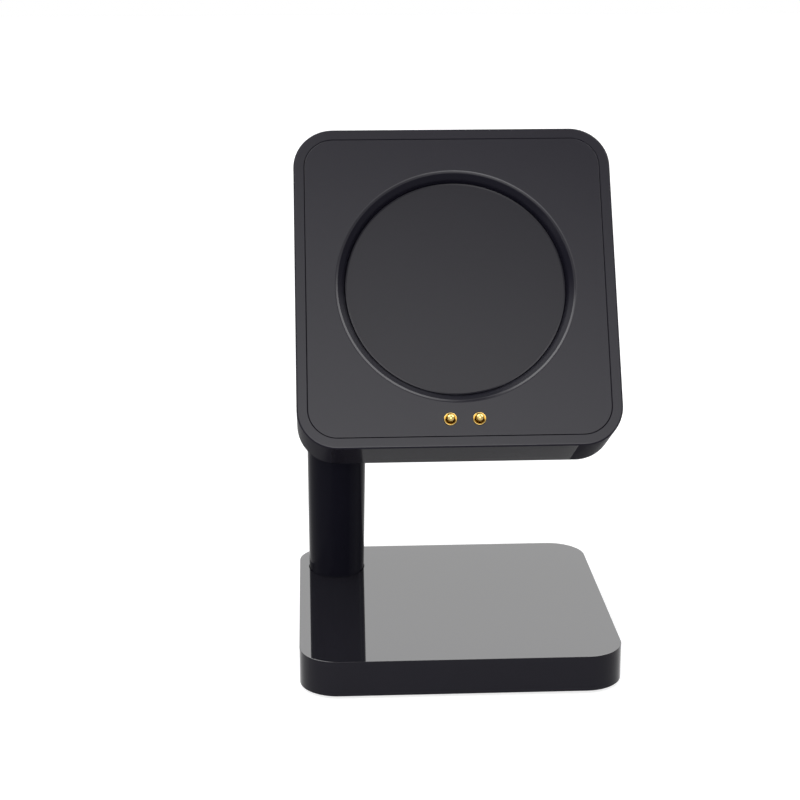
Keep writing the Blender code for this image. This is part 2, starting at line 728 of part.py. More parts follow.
def contact_board():
    """The small board behind the contacts, held to two posts."""
    mesh = slab("contact_board", HEAD_BOARD_WIDTH, HEAD_BOARD_HEIGHT, HEAD_BOARD_CORNER,
                BOARD_BACK, BOARD_FRONT, (HEAD_BOARD_X, HEAD_BOARD_Y))
    board = piece("contact_board", mesh, BOARD_GREEN, HEAD)
    for i, at in enumerate(BOARD_SCREWS):
        cut(board, tool(f"board_hole_{i}", rod(
            "board_hole", SCREW_RADIUS + FIT_GAP, -HEAD_DEPTH, 0, TINY_STEPS), HEAD, (*at, 0)))
    screw = screw_mesh("board_screw", BOARD_SCREW_LENGTH)
    for i, (x, y) in enumerate(BOARD_SCREWS):
        at = (x, y, BOARD_BACK - PIN_GAP)
        piece(f"board_screw_{i + 1}", screw, STEEL, HEAD, at)


FLANGE_TOP = BASE_CEILING - FLANGE_DROP
FLANGE_BOTTOM = FLANGE_TOP - FLANGE_THICKNESS
COLUMN_SLOPE = math.tan(COLUMN_FRAME.to_euler().x)
FLANGE_LEFT = -BASE_WIDTH / 2 + BASE_WALL + SEAM
FLANGE_BACK = BASE_DEPTH / 2 - BASE_WALL - FIT_GAP


def column_y_at(height):
    """Where the column's axis passes a height above the ground."""
    return COLUMN_FOOT_Y + (BASE_TOP - height) * COLUMN_SLOPE


COLUMN_SCREWS = [
    (COLUMN_X - FLANGE_SCREW_LEFT, COLUMN_FOOT_Y - FLANGE_FRONT + FLANGE_SCREW_INSET),
    (COLUMN_X + FLANGE_SIDE - FLANGE_SCREW_INSET, FLANGE_BACK - FLANGE_SCREW_INSET),
]
COLUMN_SCREW_SEAT = FLANGE_BOTTOM + SCREW_HEAD_HEIGHT + PIN_GAP
MITRE_DEPTH = PAN_BACK - MITRE_GAP


def column():
    """The leaning tube, its top mitred parallel to the face, with the flange that holds it
    under the top of the base and a slot there for the wires."""
    mesh = rod("column", COLUMN_RADIUS, -2 * BASE_THICKNESS,
               COLUMN_FREE_LENGTH + 1.5 * HEAD_DEPTH, COLUMN_STEPS)
    tube = piece("column", mesh, COLUMN_BLACK, COLUMN)
    cut(tube, tool("column_foot_cut", block(
        "column_foot_cut", (-BASE_WIDTH, -BASE_DEPTH, -BASE_WIDTH),
        (BASE_WIDTH, BASE_DEPTH, FLANGE_BOTTOM + FLANGE_THICKNESS / 2))))
    cut(tube, tool("column_mitre", block(
        "column_mitre", (-HEAD_WIDTH, -HEAD_HEIGHT, MITRE_DEPTH),
        (HEAD_WIDTH, HEAD_HEIGHT, HEAD_WIDTH)), HEAD))
    flange = rounded_outline(
        (FLANGE_LEFT, COLUMN_FOOT_Y - FLANGE_FRONT), (COLUMN_X + FLANGE_SIDE, FLANGE_BACK),
        (FLANGE_CORNER, FLANGE_CORNER, FLANGE_CORNER, BASE_CORNER - BASE_WALL))
    join(tube, tool("column_flange", extrusion(
        "column_flange", flange, FLANGE_BOTTOM, FLANGE_TOP)))
    cut(tube, tool("column_bore", rod(
        "column_bore", COLUMN_BORE, -3 * BASE_THICKNESS, COLUMN_FREE_LENGTH + 2 * HEAD_DEPTH,
        COLUMN_STEPS), COLUMN))
    wire_y = column_y_at(FLANGE_TOP)
    half_slot = WIRE_SPREAD + WIRE_RADIUS + FIT_GAP
    cut(tube, tool("wire_slot", block(
        "wire_slot", (COLUMN_X, wire_y - half_slot, -BASE_THICKNESS),
        (COLUMN_X + 2 * FLANGE_SIDE, wire_y + half_slot, BASE_CEILING - SEAM))))
    for i, at in enumerate(COLUMN_SCREWS):
        cut(tube, tool(f"flange_hole_{i}", rod(
            "flange_hole", SCREW_RADIUS + FIT_GAP, 0, BASE_TOP, TINY_STEPS), None, (*at, 0)))
        cut(tube, tool(f"flange_recess_{i}", rod(
            "flange_recess", SCREW_HEAD_RADIUS + FIT_GAP, -BASE_THICKNESS,
            COLUMN_SCREW_SEAT), None, (*at, 0)))
    cut(tube, tool("column_cross_hole", cross_pin_rod(
        "column_cross_hole", CROSS_PIN_RADIUS + PIN_GAP, HEAD_WIDTH),
        HEAD, CROSS_PIN_PLACE, ALONG_X))

    piece("cross_pin", cross_pin_rod("cross_pin", CROSS_PIN_RADIUS, 0), STEEL, HEAD,
          CROSS_PIN_PLACE, ALONG_X)
    screw = screw_mesh("column_screw", SCREW_TIP - COLUMN_SCREW_SEAT)
    for i, at in enumerate(COLUMN_SCREWS):
        piece(f"column_screw_{i + 1}", screw, STEEL, None, (*at, COLUMN_SCREW_SEAT))


def inset_corner(sign_x, sign_y):
    return (sign_x * (BASE_WIDTH / 2 - SCREW_INSET), sign_y * (BASE_DEPTH / 2 - SCREW_INSET))


COVER_SCREWS = [
    inset_corner(-1, -1),
    inset_corner(1, -1),
    inset_corner(1, 1),
    (-BASE_WIDTH / 2 + SCREW_INSET, COLUMN_FOOT_Y - FLANGE_FRONT - SCREW_BEFORE_FLANGE),
]
SCREW_CUP_TOP = COVER_TOP + SCREW_CUP_RISE
SCREW_CUP_RADIUS = SCREW_HEAD_RADIUS + FIT_GAP + SCREW_CUP_WALL
COVER_SCREW_SEAT = COVER_BOTTOM + SCREW_HEAD_HEIGHT + FIT_GAP
INLET_MIDDLE = (BASE_BOTTOM + BASE_CEILING) / 2 + INLET_RISE
INLET_REAR = BASE_DEPTH / 2 - INLET_SETBACK
INLET_FRONT = INLET_REAR - INLET_LENGTH


def inlet_outline(shrink=0.0):
    """The inlet's section, flat on top, with two slanted corners below."""
    half = INLET_WIDTH / 2 - shrink
    top = INLET_HEIGHT / 2 - shrink
    slant = INLET_HEIGHT * 0.35
    return [
        (-half, top),
        (-half, -top + slant),
        (-half + slant, -top),
        (half - slant, -top),
        (half, -top + slant),
        (half, top),
    ]


def base_shell():
    """The top of the base: a shallow tray, open below, with screw bosses under its top."""
    outside = slab("base_shell", BASE_WIDTH, BASE_DEPTH, BASE_CORNER, BASE_BOTTOM, BASE_TOP)
    shell = piece("base_shell", outside, BLACK_GLOSS)
    round_edges(shell, EDGE_RADIUS)
    cut(shell, tool("base_pocket", slab(
        "base_pocket", BASE_WIDTH - 2 * BASE_WALL, BASE_DEPTH - 2 * BASE_WALL,
        BASE_CORNER - BASE_WALL, -BASE_THICKNESS, BASE_CEILING)))
    bosses = [(at, SCREW_CUP_TOP + FIT_GAP) for at in COVER_SCREWS]
    bosses += [(at, FLANGE_TOP + FIT_GAP) for at in COLUMN_SCREWS]
    for i, (at, bottom) in enumerate(bosses):
        join(shell, tool(f"boss_{i}", rod(
            "boss", SCREW_RADIUS + BOSS_WALL, bottom, BASE_CEILING + BASE_TOP_WALL / 2),
            None, (*at, 0)))
    for i, (at, _) in enumerate(bosses):
        cut(shell, tool(f"pilot_hole_{i}", rod(
            "pilot_hole", SCREW_RADIUS + SEAM, -BASE_THICKNESS, SCREW_TIP + FIT_GAP,
            TINY_STEPS), None, (*at, 0)))
    cut(shell, column_hole("base_column_hole"))
    low = (-INLET_WIDTH / 2 - FIT_GAP, INLET_REAR - 2 * BASE_WALL,
           INLET_MIDDLE - INLET_HEIGHT / 2 - FIT_GAP)
    high = (INLET_WIDTH / 2 + FIT_GAP, BASE_DEPTH, INLET_MIDDLE + INLET_HEIGHT / 2 + FIT_GAP)
    cut(shell, tool("rear_window", block("rear_window", low, high)))


def base_cover():
    """The plate that closes the base, with a cup round each screw and a notch for the inlet."""
    inset = BASE_WALL + SEAM
    mesh = slab("base_cover", BASE_WIDTH - 2 * inset, BASE_DEPTH - 2 * inset, BASE_CORNER - inset,
                COVER_BOTTOM, COVER_TOP)
    cover = piece("base_cover", mesh, INNER_BLACK)
    for i, at in enumerate(COVER_SCREWS):
        join(cover, tool(f"screw_cup_{i}", rod(
            "screw_cup", SCREW_CUP_RADIUS, COVER_BOTTOM + COVER_THICKNESS / 2, SCREW_CUP_TOP),
            None, (*at, 0)))
    for i, at in enumerate(COVER_SCREWS):
        cut(cover, tool(f"cover_recess_{i}", rod(
            "cover_recess", SCREW_HEAD_RADIUS + FIT_GAP, -BASE_THICKNESS,
            COVER_SCREW_SEAT), None, (*at, 0)))
        cut(cover, tool(f"cover_hole_{i}", rod(
            "cover_hole", SCREW_RADIUS + FIT_GAP, 0, BASE_TOP, TINY_STEPS), None, (*at, 0)))
    low = (-INLET_WIDTH / 2 - REST_GAP, INLET_FRONT - REST_GAP, -BASE_THICKNESS)
    high = (INLET_WIDTH / 2 + REST_GAP, BASE_DEPTH, BASE_TOP)
    cut(cover, tool("inlet_notch", block("inlet_notch", low, high)))
    screw = screw_mesh("cover_screw", SCREW_TIP - COVER_SCREW_SEAT)
    for i, at in enumerate(COVER_SCREWS):
        piece(f"cover_screw_{i + 1}", screw, STEEL, None, (*at, COVER_SCREW_SEAT))


BALLAST_BOTTOM = COVER_TOP + REST_GAP
BOARD_BOTTOM = COVER_TOP + REST_GAP
BOARD_TOP = BOARD_BOTTOM + BASE_BOARD_THICKNESS
BOARD_REAR = INLET_REAR - BASE_WALL - REST_GAP
BOARD_FRONT_Y = BOARD_REAR - BASE_BOARD_LENGTH


def ballast_plate():
    """The steel weight: an L-shaped plate that leaves room for the flange and the board."""
    front = -BASE_DEPTH / 2 + BALLAST_INSET
    right = BASE_WIDTH / 2 - BALLAST_INSET
    split = COLUMN_FOOT_Y - FLANGE_FRONT - 2 * REST_GAP
    corner = BASE_CORNER - BALLAST_INSET
    top = BALLAST_BOTTOM + BALLAST_THICKNESS
    main = block("ballast_plate", (-right, front, BALLAST_BOTTOM), (right, split, top), corner)
    plate = piece("ballast_plate", main, STEEL)
    arm_left = BASE_BOARD_WIDTH / 2 + 2 * REST_GAP
    join(plate, tool("ballast_arm", block(
        "ballast_arm", (arm_left, split - 2 * corner, BALLAST_BOTTOM), (right, -front, top),
        corner)))
    for i, at in enumerate(COVER_SCREWS):
        cut(plate, tool(f"ballast_hole_{i}", rod(
            "ballast_hole", SCREW_CUP_RADIUS + REST_GAP, 0, BASE_TOP), None, (*at, 0)))


def base_board():
    """The power board, cut out round the inlet, with its regulator and capacitors."""
    half = BASE_BOARD_WIDTH / 2
    mesh = block("base_board", (-half, BOARD_FRONT_Y, BOARD_BOTTOM), (half, BOARD_REAR, BOARD_TOP),
                 BASE_BOARD_CORNER)
    board = piece("base_board", mesh, BOARD_GREEN)
    for name, (left, right, inset, length, rise) in CHIPS.items():
        low = (left, BOARD_FRONT_Y + inset, BOARD_TOP - BASE_BOARD_THICKNESS / 2)
        high = (right, BOARD_FRONT_Y + inset + length, BOARD_TOP + rise)
        join(board, tool(name, block(name, low, high)))
    notch = INLET_WIDTH / 2 + FIT_GAP
    cut(board, tool("board_notch", block(
        "board_notch", (-notch, INLET_FRONT - FIT_GAP, 0), (notch, BASE_DEPTH, BASE_TOP))))


def inlet():
    """The power inlet: a folded metal shell with ears on the board, and the tongue inside it."""
    along_y = (math.pi / 2, 0, 0)
    at = (0, 0, INLET_MIDDLE)
    shell = piece("inlet_shell", extrusion(
        "inlet_shell", inlet_outline(), -INLET_REAR, -INLET_FRONT), NICKEL, None, at, along_y)
    ear_width = BASE_BOARD_WIDTH - 2 * BASE_BOARD_CORNER
    ear_bottom = BOARD_TOP + PIN_GAP
    low = (-ear_width / 2, INLET_FRONT + INLET_LENGTH / 4, ear_bottom)
    high = (ear_width / 2, INLET_FRONT + INLET_LENGTH / 2, ear_bottom + INLET_WALL)
    join(shell, tool("inlet_ears", block("inlet_ears", low, high)))
    cut(shell, tool("inlet_hollow", extrusion(
        "inlet_hollow", inlet_outline(INLET_WALL), -BASE_DEPTH, 0), None, at, along_y))

    gap = INLET_WALL + PIN_GAP
    root = extrusion(
        "inlet_tongue", inlet_outline(gap), -INLET_FRONT - TONGUE_ROOT, -INLET_FRONT)
    tongue = piece("inlet_tongue", root, INNER_BLACK, None, at, along_y)
    blade = (INLET_WIDTH - INLET_HEIGHT) / 2
    low = (-blade, INLET_FRONT + TONGUE_ROOT / 2, INLET_MIDDLE)
    high = (blade, INLET_REAR - TONGUE_SETBACK, INLET_MIDDLE + TONGUE_THICKNESS)
    join(tongue, tool("tongue_blade", block("tongue_blade", low, high)))


def foot_pad():
    """The soft pad under the base that it stands on."""
    inset = BASE_WALL + REST_GAP
    mesh = slab("foot_pad", BASE_WIDTH - 2 * inset, BASE_DEPTH - 2 * inset, BASE_CORNER - inset,
                0, FOOT_PAD_THICKNESS)
    pad = piece("foot_pad", mesh, SILICONE)
    round_edges(pad, EDGE_RADIUS, 1)


def wire_points(side):
    """A wire's route: from the base board through the slot and the column to the head's board."""
    lift = BOARD_TOP + WIRE_RADIUS + PIN_GAP
    board_x = WIRE_BOARD_INSET - BASE_BOARD_WIDTH / 2
    bore_y = column_y_at(lift)
    near, spread = side * WIRE_SPREAD, side * WIRE_SPREAD * 1.5
    points = [
        Vector((board_x, bore_y + near, lift)),
        Vector((board_x - COLUMN_BORE * 0.7, bore_y + near, lift)),
        Vector((COLUMN_X + COLUMN_BORE * 1.4, bore_y + near, lift)),
        Vector((COLUMN_X + COLUMN_BORE * 0.5, bore_y + spread, lift)),
    ]
    top = COLUMN_FREE_LENGTH + (HEAD_DEPTH + MITRE_DEPTH) * 0.9
    for share in (0.04, 0.12, 0.3, 0.55, 0.85, 1):
        points.append(COLUMN_FRAME @ Vector((0, side * WIRE_OFFSET, top * share)))
    end_y = WIRE_END_Y + near
    mitre = Vector((COLUMN_X, end_y + 2 * COLUMN_BORE, MITRE_DEPTH + 3 * WIRE_RADIUS))
    for at in (
        mitre + Vector((WIRE_RADIUS, spread - near - COLUMN_BORE * 0.4, 0)),
        mitre + Vector((COLUMN_BORE, -COLUMN_BORE * 1.4, 0)),
        mitre + Vector((COLUMN_BORE * 2.2, -COLUMN_BORE * 2, -WIRE_RADIUS)),
        Vector((WIRE_END_X, end_y, MITRE_DEPTH - WIRE_RADIUS)),
        Vector((WIRE_END_X, end_y, BOARD_FRONT + PIN_GAP)),
    ):
        points.append(HEAD_FRAME @ at)
    return smooth_route(points, 3)


def wires():
    wire("wire_red", wire_points(1), WIRE_RADIUS, RED_SLEEVE)
    wire("wire_black", wire_points(-1), WIRE_RADIUS, BLACK_SLEEVE)


head_housing()
face_plate()
dish_pad()
contact_barrels()
contact_plungers()
contact_springs()
magnets()
contact_board()
column()
wires()
base_shell()
base_cover()
ballast_plate()
base_board()
inlet()
foot_pad()
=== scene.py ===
import json
import math

import bmesh
import bpy
from mathutils import Matrix, Vector

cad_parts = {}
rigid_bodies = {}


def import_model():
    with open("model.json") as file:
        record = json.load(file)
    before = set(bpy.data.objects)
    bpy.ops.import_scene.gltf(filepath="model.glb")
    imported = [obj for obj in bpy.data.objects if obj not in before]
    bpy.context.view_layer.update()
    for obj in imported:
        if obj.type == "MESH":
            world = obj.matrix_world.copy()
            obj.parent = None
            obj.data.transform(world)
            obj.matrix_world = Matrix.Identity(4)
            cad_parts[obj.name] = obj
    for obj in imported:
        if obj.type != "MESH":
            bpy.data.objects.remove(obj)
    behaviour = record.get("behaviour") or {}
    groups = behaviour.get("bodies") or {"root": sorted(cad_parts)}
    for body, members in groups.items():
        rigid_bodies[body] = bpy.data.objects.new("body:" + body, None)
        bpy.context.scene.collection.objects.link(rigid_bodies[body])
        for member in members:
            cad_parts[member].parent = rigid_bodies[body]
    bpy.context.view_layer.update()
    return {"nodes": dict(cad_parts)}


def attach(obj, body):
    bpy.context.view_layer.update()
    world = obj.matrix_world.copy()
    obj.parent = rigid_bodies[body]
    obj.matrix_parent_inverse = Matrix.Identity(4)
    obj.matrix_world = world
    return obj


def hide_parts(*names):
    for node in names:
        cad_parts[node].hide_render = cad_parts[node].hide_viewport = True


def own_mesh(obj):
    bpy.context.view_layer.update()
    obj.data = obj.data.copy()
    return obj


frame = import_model()

# Looks of the watch charging dock: a satin head with a lipped dish and two gold contacts, a
# lacquered column and a mirror-gloss base, on a white floor. Metres, +Z up, front towards -Y.
# Pieces of the head are drawn in face coordinates, with the face at z = 0, and pieces of the
# column with z along the column.

MM = 0.001

# Head
HEAD_WIDTH = 36.0 * MM
HEAD_HEIGHT = 37.1 * MM
HEAD_DEPTH = 8.0 * MM
HEAD_CORNER = 4.5 * MM
HEAD_TILT = math.radians(29.3)
FACE_CENTRE = Vector((0, -4.2 * MM, 43.6 * MM))
RIM_WALL = 1.2 * MM
BACK_WALL = 1.2 * MM
FACE_THICKNESS = 1.5 * MM
FACE_LINE = 0.055 * MM
FINE_EDGE = 0.05 * MM
HEAD_EDGE = 0.2 * MM
UNDERSIDE_STOP = 0.65 * MM

# Dish
DISH_OUTER = 13.5 * MM
LIP_EDGE = 0.08 * MM
LIP_WIDTH = 0.26 * MM
LIP_FALL = 0.12 * MM
LIP_TURN = 0.09 * MM
WALL_BEND_RADIUS = 12.66 * MM
WALL_BEND_DEPTH = 0.6 * MM
WALL_BEND = 0.2 * MM
DISH_DEPTH = 1.2 * MM
DISH_FLOOR_RADIUS = 12.4 * MM
DISH_WALL = 1.2 * MM
DISH_FLOOR_WALL = 0.95 * MM
PAD_THICKNESS = 0.6 * MM
PAD_LINE = 0.02 * MM
PAD_RIM_WIDTH = 0.15 * MM
PAD_RIM_RISE = 0.06 * MM

# Contacts
PIN_PITCH = 3.2 * MM
PIN_PAIR_X = 0.45 * MM
PIN_Y = -15.4 * MM
PIN_TIP_RADIUS = 0.43 * MM
PIN_DOME = 0.34 * MM
PIN_RISE = 1.0 * MM
PIN_TRAVEL = 0.6 * MM
COLLAR_RADIUS = 0.71 * MM
COLLAR_TOP = 0.1 * MM
COLLAR_EDGE = 0.05 * MM
COLLAR_FALL = 0.12 * MM
BARREL_RADIUS = 1.0 * MM
BARREL_BORE = 0.8 * MM
BARREL_FLOOR_WALL = 0.3 * MM
MOUTH_LENGTH = 0.65 * MM
SHOULDER_LENGTH = 0.6 * MM
NUB_LENGTH = 0.4 * MM
SPRING_WIRE = 0.09 * MM
SPRING_TURNS = 4.5
SPRING_SPARE = 0.5 * MM

# Magnet cups and screw posts behind the face, and its snap hooks
MAGNET_RADIUS = 2.5 * MM
MAGNET_THICKNESS = 1.5 * MM
MAGNET_CIRCLE = 8.4 * MM
CUP_WALL = 0.7 * MM
POST_WALL = 0.7 * MM
BOARD_THICKNESS = 0.6 * MM
BOARD_SCREW_LENGTH = 2.6 * MM
BOARD_SCREWS = [(-5.6 * MM, -15.3 * MM), (8.4 * MM, -14.7 * MM)]
HOOK_WIDTH = 3.0 * MM
HOOK_THICKNESS = 0.9 * MM
HOOK_LENGTH = 2.9 * MM
HOOK_BARB = 0.5 * MM
HOOK_SIDE = 8.0 * MM
HOOK_SLACK = 0.1 * MM
CATCH_HEIGHT = 0.6 * MM
CATCH_REACH = 0.45 * MM

# Column
COLUMN_RADIUS = 3.4 * MM
COLUMN_BORE = 2.2 * MM
COLUMN_X = -13.5 * MM
COLUMN_FOOT_Y = 11.4 * MM
SOCKET_BELOW_CENTRE = 11.25 * MM
SOCKET_WALL = 1.3 * MM
SOCKET_RISE = 1.8 * MM
CROSS_PIN_RADIUS = 0.6 * MM
FLANGE_THICKNESS = 0.9 * MM
FLANGE_CORNER = 1.6 * MM
FLANGE_FRONT = 7.5 * MM
FLANGE_SIDE = 6.3 * MM
FLANGE_DROP = 0.7 * MM
FLANGE_SCREW_INSET = 1.9 * MM
FLANGE_SCREW_LEFT = 1.0 * MM
MITRE_GAP = 0.45 * MM
WIRE_SLOT = 1.2 * MM

# Base
BASE_WIDTH = 36.2 * MM
BASE_DEPTH = 36.4 * MM
BASE_BOTTOM = 0.4 * MM
BASE_TOP = 4.5 * MM
BASE_CORNER = 4.4 * MM
BASE_WALL = 1.0 * MM
BASE_TOP_WALL = 0.9 * MM
BASE_EDGE = 0.05 * MM
SCREW_CUP_TOP = 2.0 * MM
INLET_WIDTH = 7.5 * MM
INLET_HEIGHT = 2.3 * MM
INLET_MIDDLE = 2.2 * MM
INLET_REAR = BASE_DEPTH / 2 - 0.15 * MM
SCREW_RADIUS = 0.6 * MM
SCREW_HEAD_RADIUS = 1.35 * MM
SCREW_HEAD_HEIGHT = 0.45 * MM
SCREW_INSET = 4.9 * MM
BOSS_WALL = 0.9 * MM
SCREW_BEFORE_FLANGE = 3.3 * MM

# Where the head's underside turns duller and the column's coat thickens
DULL_RIGHT_SPAN = (0.0, 12.0 * MM)
COAT_BEHIND_SPAN = (0.4 * MM, 2.4 * MM)

# Clearances
SEAM = 0.15 * MM
COLUMN_LINE = 0.07 * MM
FIT_GAP = 0.2 * MM
PIN_GAP = 0.08 * MM
MERGE_DISTANCE = 0.0005 * MM

# Steps round a circle and round an edge
CORNER_STEPS = 20
EDGE_STEPS = 5
BEND_STEPS = 8
DISH_STEPS = 160
COLUMN_STEPS = 96
SMALL_STEPS = 48
COLLAR_STEPS = 10
DOME_STEPS = 14
SPRING_WIRE_SIDES = 12
SHARP_ANGLE = 35
PAD_SHARP_ANGLE = 15

# Slopes at which a face takes another finish, as a part of its normal
FRONT_SLOPE = 0.97
UNDERSIDE_SLOPE = -0.99
UNDERSIDE_FLAT = -0.9999
BACK_SLOPE = -0.6
DISH_WALL_SLOPE = 0.84
PAD_RIM_SLOPE = 0.99
BASE_TOP_SLOPE = 0.8

# Worked out from the sizes above
BASE_CEILING = BASE_TOP - BASE_TOP_WALL
SCREW_TIP = BASE_CEILING + BASE_TOP_WALL / 3
BACK_INSIDE = BACK_WALL - HEAD_DEPTH
POCKET_WIDTH = HEAD_WIDTH - 2 * RIM_WALL
POCKET_HEIGHT = HEAD_HEIGHT - 2 * RIM_WALL
POCKET_CORNER = HEAD_CORNER - RIM_WALL
PAD_TOP = -DISH_DEPTH
PAD_SEAT = PAD_TOP - PAD_THICKNESS - SEAM
PAN_RADIUS = DISH_FLOOR_RADIUS + DISH_WALL
PAN_BACK = PAD_SEAT - DISH_FLOOR_WALL
SHOULDER_TOP = -FACE_THICKNESS - MOUTH_LENGTH
SHOULDER_BOTTOM = SHOULDER_TOP - SHOULDER_LENGTH
SPRING_SOLID = 2 * SPRING_WIRE * (SPRING_TURNS + 1)
BARREL_FLOOR = SHOULDER_BOTTOM - SPRING_SOLID - PIN_TRAVEL - SPRING_SPARE
BARREL_BACK = BARREL_FLOOR - BARREL_FLOOR_WALL
MOUTH_RADIUS = PIN_TIP_RADIUS + PIN_GAP
BOARD_FRONT = BARREL_BACK - FIT_GAP
BOARD_BACK = BOARD_FRONT - BOARD_THICKNESS
HOOK_OUTSIDE = CATCH_REACH + SEAM + HOOK_SLACK
HOOK_TOP = -FACE_THICKNESS - HOOK_LENGTH + 2 * HOOK_BARB
CATCH_BOTTOM = HOOK_TOP + FIT_GAP
MITRE_DEPTH = PAN_BACK - MITRE_GAP
FLANGE_TOP = BASE_CEILING - FLANGE_DROP
FLANGE_BOTTOM = FLANGE_TOP - FLANGE_THICKNESS
FLANGE_LEFT = -BASE_WIDTH / 2 + BASE_WALL + SEAM
FLANGE_BACK = BASE_DEPTH / 2 - BASE_WALL - FIT_GAP

HEAD = Matrix.Translation(FACE_CENTRE) @ Matrix.Rotation(math.pi / 2 - HEAD_TILT, 4, "X")


def column_place():
    """The column's frame, from its foot to the head's socket, and its free length."""
    foot = Vector((COLUMN_X, COLUMN_FOOT_Y, BASE_TOP))
    run = HEAD @ Vector((COLUMN_X, -SOCKET_BELOW_CENTRE, -HEAD_DEPTH)) - foot
    lean = math.atan2(-run.y, run.z)
    return Matrix.Translation(foot) @ Matrix.Rotation(lean, 4, "X"), run.length, lean


COLUMN, COLUMN_LENGTH, COLUMN_LEAN = column_place()
STANDING = Matrix.Identity(4)


# Shapes


def mesh_from(name, shape):
    bmesh.ops.remove_doubles(shape, verts=shape.verts, dist=MERGE_DISTANCE)
    bmesh.ops.recalc_face_normals(shape, faces=shape.faces)
    mesh = bpy.data.meshes.new(name)
    shape.to_mesh(mesh)
    shape.free()
    return mesh


def arc(centre, radii, start, end, steps):
    """Points of an elliptical arc, angles in degrees."""
    angles = [math.radians(start + (end - start) * i / steps) for i in range(steps + 1)]
    return [
        (centre[0] + radii[0] * math.cos(a), centre[1] + radii[1] * math.sin(a)) for a in angles
    ]


def rounded_outline(low, high, radii, steps=CORNER_STEPS):
    """An outline with four round corners, from the front left one counterclockwise."""
    corners = [(low[0], low[1]), (high[0], low[1]), (high[0], high[1]), (low[0], high[1])]
    outline = []
    for i, ((x, y), radius) in enumerate(zip(corners, radii)):
        centre = (x + radius * (1, -1, -1, 1)[i], y + radius * (1, 1, -1, -1)[i])
        outline += arc(centre, (radius, radius), 180 + 90 * i, 270 + 90 * i, steps)
    return outline


def layered(name, layers):
    """A closed shape through outlines of as many points, given as (outline, height)."""
    shape = bmesh.new()
    rows = [[shape.verts.new((x, y, height)) for x, y in line] for line, height in layers]
    for lower, upper in zip(rows, rows[1:]):
        for i in range(len(lower)):
            j = (i + 1) % len(lower)
            shape.faces.new((lower[i], lower[j], upper[j], upper[i]))
    shape.faces.new(list(reversed(rows[0])))
    shape.faces.new(rows[-1])
    return mesh_from(name, shape)


def slab(name, width, depth, corner, bottom, top, low_edge=0.0, high_edge=0.0):
    """A plate with rounded corners and, where given, rounded lower and upper edges."""
    section = []
    turns = [math.pi / 2 * i / EDGE_STEPS for i in range(EDGE_STEPS + 1)]
    if low_edge:
        section += [
            (low_edge * (1 - math.sin(a)), bottom + low_edge * (1 - math.cos(a))) for a in turns
        ]
    else:
        section.append((0, bottom))
    if high_edge:
        section += [
            (high_edge * (1 - math.sin(a)), top - high_edge * (1 - math.cos(a)))
            for a in reversed(turns)
        ]
    else:
        section.append((0, top))
    layers = []
    for inset, height in section:
        half_x, half_y = width / 2 - inset, depth / 2 - inset
        radii = [corner - inset] * 4
        layers.append((rounded_outline((-half_x, -half_y), (half_x, half_y), radii), height))
    return layered(name, layers)


def flared_pocket(name, width, depth, corner, bottom, mouth, top, flare):
    """A pocket's hollow that widens a little at its mouth."""
    layers = []
    for grow, height in ((0, bottom), (0, mouth - flare), (flare, mouth), (flare, top)):
        half_x, half_y = width / 2 + grow, depth / 2 + grow
        radii = [corner + grow] * 4
        layers.append((rounded_outline((-half_x, -half_y), (half_x, half_y), radii), height))
    return layered(name, layers)


def block(name, low, high):
    line = [(low[0], low[1]), (high[0], low[1]), (high[0], high[1]), (low[0], high[1])]
    return layered(name, [(line, low[2]), (line, high[2])])


def rod(name, radius, bottom, top, steps=SMALL_STEPS, at=(0, 0)):
    """A round rod along z."""
    line = arc(at, (radius, radius), 0, 360, steps)[:-1]
    return layered(name, [(line, bottom), (line, top)])


def turned(name, profile, steps):
    """A turned shape about z from a closed profile of (radius, height) that ends on the axis."""
    shape = bmesh.new()
    rows = []
    for radius, height in profile:
        if radius < MERGE_DISTANCE:
            rows.append([shape.verts.new((0, 0, height))] * steps)
            continue
        angles = [2 * math.pi * i / steps for i in range(steps)]
        rows.append([
            shape.verts.new((radius * math.cos(a), radius * math.sin(a), height)) for a in angles
        ])
    for lower, upper in zip(rows, rows[1:]):
        for i in range(steps):
            j = (i + 1) % steps
            around = []
            for corner in (lower[i], lower[j], upper[j], upper[i]):
                if corner not in around:
                    around.append(corner)
            if len(around) > 2:
                shape.faces.new(around)
    return mesh_from(name, shape)


def swept(name, points, radius, sides):
    """A round wire along a row of points, with flat ends."""
    shape = bmesh.new()
    rows = []
    across = None
    for i, point in enumerate(points):
        along = points[min(i + 1, len(points) - 1)] - points[max(i - 1, 0)]
        along.normalize()
        if across is None:
            across = along.orthogonal()
        across = (across - along * across.dot(along)).normalized()
        up = along.cross(across)
        angles = [2 * math.pi * k / sides for k in range(sides)]
        rows.append([
            shape.verts.new(point + (across * math.cos(a) + up * math.sin(a)) * radius)
            for a in angles
        ])
    for lower, upper in zip(rows, rows[1:]):
        for i in range(sides):
            j = (i + 1) % sides
            shape.faces.new((lower[i], lower[j], upper[j], upper[i]))
    shape.faces.new(list(reversed(rows[0])))
    shape.faces.new(rows[-1])
    return mesh_from(name, shape)


def moved(mesh, matrix):
    mesh.transform(matrix)
    return mesh


